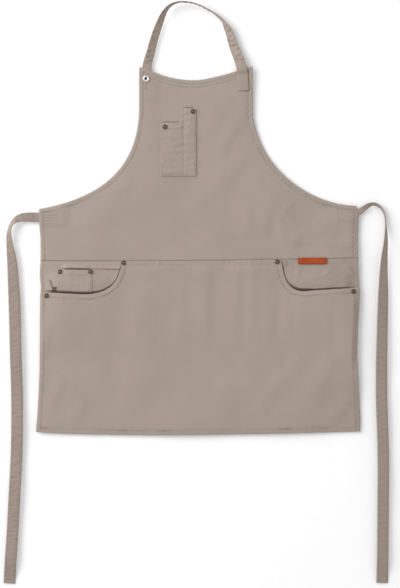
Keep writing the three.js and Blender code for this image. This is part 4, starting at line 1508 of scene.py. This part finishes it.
# Shape, piece, replaced node, stitching and seed of each strap
straps = [
    (neckStrap, "neck_band", "neck_strap", "neck_stitching", 1),
    (leftTie, "tie_left", "waist_tie_left", "tie_left_stitching", 2),
    (rightTie, "tie_right", "waist_tie_right", "tie_right_stitching", 3),
]
strapPieces = [makeStrap(name, shape, node, seed) for shape, name, node, sewn, seed in straps]
print("straps made, lengths in mm:", *[round(length) for piece, length in strapPieces])


# Stitching

def bibStitches():
    rows = [
        insetRow(bibEdges["left"], hem["stitchInset"], -1, (14.0, 8.0)),
        insetRow(bibEdges["right"], hem["stitchInset"], 1, (14.0, 8.0)),
        boxRow(-338.0, -291.0, 80.0, 108.0),
        boxRow(300.0, 338.0, 90.0, 118.0),
        boxRow(-126.0, -101.0, 373.0, 408.0),
    ]
    rows += [insetRow(bibEdges["neck"], inset, -1, (6.0, 6.0)) for inset in bib["neckRows"]]
    return stitchPiece("bib_stitching", *sewnRows(rows, bibTop), "cotton")


def skirtStitches():
    seamX = np.linspace(mouth["left"]["waistX"] + 4.0, mouth["right"]["waistX"] - 4.0, 200)
    inset = hem["stitchInset"]
    rows = [
        insetRow(skirtEdges["left"], inset, -1, (6.0, 6.0)),
        insetRow(skirtEdges["right"], inset, 1, (6.0, 6.0)),
        insetRow(skirtEdges["hem"], inset, 1, (6.0, 6.0)),
        insetRow(mouthRuns["left"], hem["mouthInset"], -1, (4.0, 8.0)),
        insetRow(mouthRuns["right"], hem["mouthInset"], 1, (4.0, 8.0)),
        np.stack([seamX, seamY(seamX) - waist["stitchDrop"]], axis=1),
    ]
    return stitchPiece("skirt_stitching", *sewnRows(rows, skirtTop), "cotton")


def facingStitches(side):
    top = mouth[side]["waistX"]
    seamX = np.linspace(*sorted((backs[side]["sideX"], top)), 120)[2:-6]
    row = np.stack([seamX, seamY(seamX) - waist["stitchDrop"]], axis=1)
    placedRow = sewnRows([row], lambda x, y: backHeights(x, y, side)[0])
    return stitchPiece("facing_stitching_" + side, *placedRow, "cotton")


def patchStitches():
    low = coin["bottomY"] + 3.0
    high = coin["topY"] - 2.0
    band = coin["topY"] - coin["hem"]
    sides = (coin["left"] + coin["edgeStitch"], coin["right"] - coin["edgeStitch"])
    coinRows = [np.array([(x, low), (x, high)]) for x in sides]
    coinRows.append(np.array([(coin["left"] + 6.0, band), (coin["right"] - 6.0, band)]))
    inset = pen["edgeStitch"]
    penRows = [
        insetRow(penEdges["left"], inset, -1, (3.0, 2.0)),
        insetRow(penEdges["right"], inset, 1, (3.0, 2.0)),
        insetRow(penEdges["foot"], inset, 1, (3.0, 3.0)),
        insetRow(penEdges["top"], pen["hem"], -1, (3.0, 3.0)),
        np.array([(pen["divideX"], pen["bottomY"] + 3.0), (pen["divideX"], pen["lowTopY"] + 18.0)]),
    ]
    onCoin = stitchPiece("coin_stitching", *sewnRows(coinRows, coinTop), "cotton")
    onPen = stitchPiece("pen_stitching", *sewnRows(penRows, penTop), "cotton")
    return onCoin, onPen


def strapStitches(name, shape, seed):
    width = shape["width"]
    middle, across, up, places = strapFrames(shape, stitch["pitch"])
    free = strapFree(middle[:, 0], middle[:, 1], strap["sewnFade"])
    middles = []
    for side in (1.0, -1.0):
        offset = side * (0.5 * width - strap["stitchInset"])
        lift = 0.5 * strap["thickness"] + strapRelief(offset, places, free, shape, seed)
        middles.append((middle + across * offset + up * lift[:, None])[2:-2])
    normals = np.concatenate([up[2:-2], up[2:-2]])
    directions = np.concatenate([np.gradient(part, axis=0) for part in middles])
    return stitchPiece(name, np.concatenate(middles), directions, normals, "strap_cotton")


bibStitching = bibStitches()
skirtStitching = skirtStitches()
facingStitching = {side: facingStitches(side) for side in ("left", "right")}
coinStitching, penStitching = patchStitches()
strapStitching = [strapStitches(sewn, shape, seed) for shape, name, node, sewn, seed in straps]
print("stitching made")


# Rivets, button and tag

rivetCap = {
    "sides": 40,
    "cap": [(1.6, 0.0), (4.4, -0.1), (4.9, 0.15), (5.05, 0.6), (4.85, 1.2), (4.4, 1.6), (3.9, 1.7),
            (3.4, 1.5), (3.0, 1.05), (2.6, 0.85), (2.2, 0.9), (1.7, 1.25), (1.1, 1.55), (0.5, 1.68),
            (0.0, 1.7)],
    "back": [(0.0, -0.8), (3.2, -0.8), (3.7, -0.6), (3.8, -0.3), (3.5, 0.0), (1.6, 0.0)],
}


def turnedPiece(name, profile, wearOf, x, y, sides, finish, slotName, node):
    profile = np.array(profile)
    ring = profile[1:-1]
    turn = 2.0 * math.pi * np.arange(sides) / sides
    ringX = x + ring[:, :1] * np.cos(turn)[None, :]
    ringY = y + ring[:, :1] * np.sin(turn)[None, :]
    ringZ = np.broadcast_to(ring[:, 1:], ringX.shape)
    points = np.concatenate([
        placed(ringX, ringY, ringZ).reshape(-1, 3),
        placed(np.array([x, x]), np.array([y, y]), profile[[0, -1], 1]),
    ])
    index = np.arange(ringX.size).reshape(ringX.shape)
    ringed = np.concatenate([index, index[:, :1]], axis=1)
    faces = gridQuads(ringed).tolist()
    bottom = ringX.size
    for k in range(sides):
        faces.append([bottom, ringed[0, k + 1], ringed[0, k]])
        faces.append([bottom + 1, ringed[-1, k], ringed[-1, k + 1]])
    wear = np.concatenate([np.repeat(wearOf(ring), sides), wearOf(profile[[0, -1]])])
    makePiece(name, points, faces, finish, slotName, node, wear=wear)


def heightAt(heightOf, x, y):
    return float(heightOf(np.array([x]), np.array([y]))[0])


def makeRivets():
    tops = {"hip": skirtTop, "coin": coinTop, "pen": penTop}
    for name, (x, y) in rivet.items():
        foot = heightAt(tops[name.split("_")[0]], x, y) + 0.1
        low = float(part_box("rivet_" + name)[0].z) * metre + 0.8 + heightAt(ground, x, y)
        profile = [(r, low + z) for r, z in rivetCap["back"]] + [(r, foot + z) for r, z in rivetCap["cap"]]

        def wearOf(ring, foot=foot):
            height = (ring[:, 1] - foot) / 1.7
            return np.clip(height, 0.0, 1.0) ** 2 * np.where(ring[:, 0] < 2.0, 1.0, 0.55)

        turnedPiece("rivet." + name, profile, wearOf, x, y, rivetCap["sides"], bronze,
                    "rivet_metal", "rivet_" + name)


button = {
    "x": -113.2,
    "y": 393.0,
    "sides": 56,
    "holeLength": 20.0,
    "back": [(0.0, 0.0), (4.2, 0.0), (4.5, 0.3), (4.3, 0.8), (2.4, 0.8)],
    "ring": [(2.4, 0.0), (6.2, 0.0), (6.8, 0.5), (7.05, 1.2), (6.9, 1.9), (6.3, 2.6), (5.4, 2.95),
             (4.4, 2.9), (3.6, 2.5), (3.0, 1.8), (2.75, 1.1), (2.3, 0.9), (1.2, 0.85), (0.0, 0.8)],
    "eyeRadius": 3.1,
}


def makeButton():
    x = button["x"]
    y = button["y"]
    foot = heightAt(bibTop, x, y) + 0.2
    low = heightAt(ground, x, y)
    profile = [(r, low + z) for r, z in button["back"]] + [(r, foot + z) for r, z in button["ring"]]

    # Painted shade: the button's eye inside the ring is given the dark shadow colour, standing for the
    # shade in its hole
    def wearOf(ring):
        return smooth(ring[:, 0], button["eyeRadius"] - 0.4, button["eyeRadius"] + 0.3)

    turnedPiece("neck_ring_button", profile, wearOf, x, y, button["sides"], steel,
                "button_metal", "neck_button")


def buttonholeStitches():
    x = button["x"]
    top = button["y"]
    bottom = top - button["holeLength"]
    rows = [np.array([(x + side * 1.7, bottom), (x + side * 1.7, top)]) for side in (-1.0, 1.0)]
    rows.append(np.array([(x - 2.6, bottom - 1.2), (x + 2.6, bottom - 1.2)]))
    sewn = sewnRows(rows, bibTop, stitch["tackPitch"], across=True)
    return stitchPiece("buttonhole_stitching", *sewn, "cotton", stitch["barWidth"])


tag = {
    "x": 245.5,
    "y": 0.1,
    "width": 61.5,
    "height": 13.4,
    "thickness": 1.8,
    "corner": 1.4,
    "columns": 60,
    "rows": 18,
}


def makeTag():
    halfX = 0.5 * tag["width"]
    halfY = 0.5 * tag["height"]
    spreadX = np.sin(np.linspace(-0.5, 0.5, tag["columns"]) * math.pi)
    spreadY = np.sin(np.linspace(-0.5, 0.5, tag["rows"]) * math.pi)
    u, v = np.meshgrid(spreadX, spreadY)
    # pulls the net's corners in to the tag's small radius
    past = np.clip(np.abs(u) * halfX - (halfX - tag["corner"]), 0.0, None) / tag["corner"]
    squeeze = np.clip(np.abs(v) * halfY - (halfY - tag["corner"]), 0.0, None) / tag["corner"]
    x = tag["x"] + u * halfX - np.sign(u) * 0.3 * tag["corner"] * past * squeeze
    y = tag["y"] + v * halfY - np.sign(v) * 0.3 * tag["corner"] * past * squeeze
    edge = np.minimum(halfX * (1.0 - np.abs(u)), halfY * (1.0 - np.abs(v)))
    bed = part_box("leather_tag")[0].z * metre + 1.1 + ground(x, y)
    under = bed + 0.35 * np.cos(u * math.pi * 0.5)
    pressed = 0.25 * bell(edge - 1.9, 0.5)
    top = under + tag["thickness"] + 0.12 * crumple(x, y, 101, 7.0) - pressed
    edge = bordered(edge)
    top, under = roundedEdge(top, under, edge, 0.9)
    wear = bell(edge, 0.6)
    sheetPiece("waist_tag", x, y, top, under, leather, "leather", "leather_tag", wear=wear)


makeRivets()
makeButton()
buttonholePiece = buttonholeStitches()
makeTag()
print("rivets, button and tag made")


# Flat cut areas of the bib and skirt, with their hem allowance, and the straps' widths and lengths are
# worked out here but not used

hemAllowance = 20.0


def sheetArea(x, y, hemmedLength):
    net = np.stack([x, y], axis=-1)
    outline = np.concatenate([net[0], net[1:, -1], net[-1, -2::-1], net[-2:0:-1, 0]])
    onX, onY = np.roll(outline, -1, axis=0).T
    area = 0.5 * abs(np.sum(outline[:, 0] * onY - onX * outline[:, 1]))
    return (area + hemmedLength * hemAllowance) / metre ** 2


def lengthsOf(edges):
    return sum(runLength(run)[-1] for run in edges)


sheetArea(bibX, bibY, lengthsOf(bibEdges.values()))
sheetArea(skirtX, skirtY, lengthsOf(skirtEdges.values()))
for (shape, *_), (piece, length), stitching in zip(straps, strapPieces, strapStitching):
    shape["width"] / metre
    length / metre


# Floor, light and camera

def makeStage():
    reach = floor["reach"]
    finish = Finish("floor_paper", **{"Roughness": floor["roughness"], "Specular IOR Level": 0.1})
    speck = finish.noise(finish.place(), 40.0)
    pale = finish.blend(floor["colour"], floor["speck"], speck)
    finish.show("Base Color", pale)
    mesh = bpy.data.meshes.new("floor")
    corners = [(-reach, -reach, 0), (reach, -reach, 0), (reach, reach, 0), (-reach, reach, 0)]
    mesh.from_pydata(corners, [], [(0, 1, 2, 3)])
    mesh.materials.append(finish.material)
    paper = bpy.data.objects.new("floor", mesh)
    bpy.context.scene.collection.objects.link(paper)

    panel = bpy.data.lights.new("window_light", "AREA")
    panel.energy = light["power"]
    panel.size = light["size"]
    lamp = bpy.data.objects.new("window_light", panel)
    rise = math.radians(light["elevation"])
    swing = math.radians(light["towardsTop"])
    towards = Vector((-math.cos(rise) * math.cos(swing), math.cos(rise) * math.sin(swing), math.sin(rise)))
    lamp.location = light["distance"] * towards
    lamp.rotation_euler = towards.to_track_quat("Z", "Y").to_euler()
    bpy.context.scene.collection.objects.link(lamp)

    world = bpy.data.worlds.new("soft_room")
    world.use_nodes = True
    sky = world.node_tree.nodes["Background"]
    sky.inputs["Color"].default_value = tint(1.0, 1.0, 1.0)
    sky.inputs["Strength"].default_value = light["fill"]
    bpy.context.scene.world = world


def makeCamera():
    lens = bpy.data.cameras.new("above")
    lens.sensor_fit = "VERTICAL"
    lens.sensor_height = camera["sensor"]
    lens.lens = camera["sensor"] * camera["distance"] / camera["frameHeight"]
    eye = bpy.data.objects.new("above", lens)
    eye.location = (camera["aim"][0] / metre, camera["aim"][1] / metre, camera["distance"])
    bpy.context.scene.collection.objects.link(eye)
    bpy.context.scene.camera = eye


makeStage()
makeCamera()
bpy.context.scene.view_settings.view_transform = "Standard"
print("stage, light and camera made")
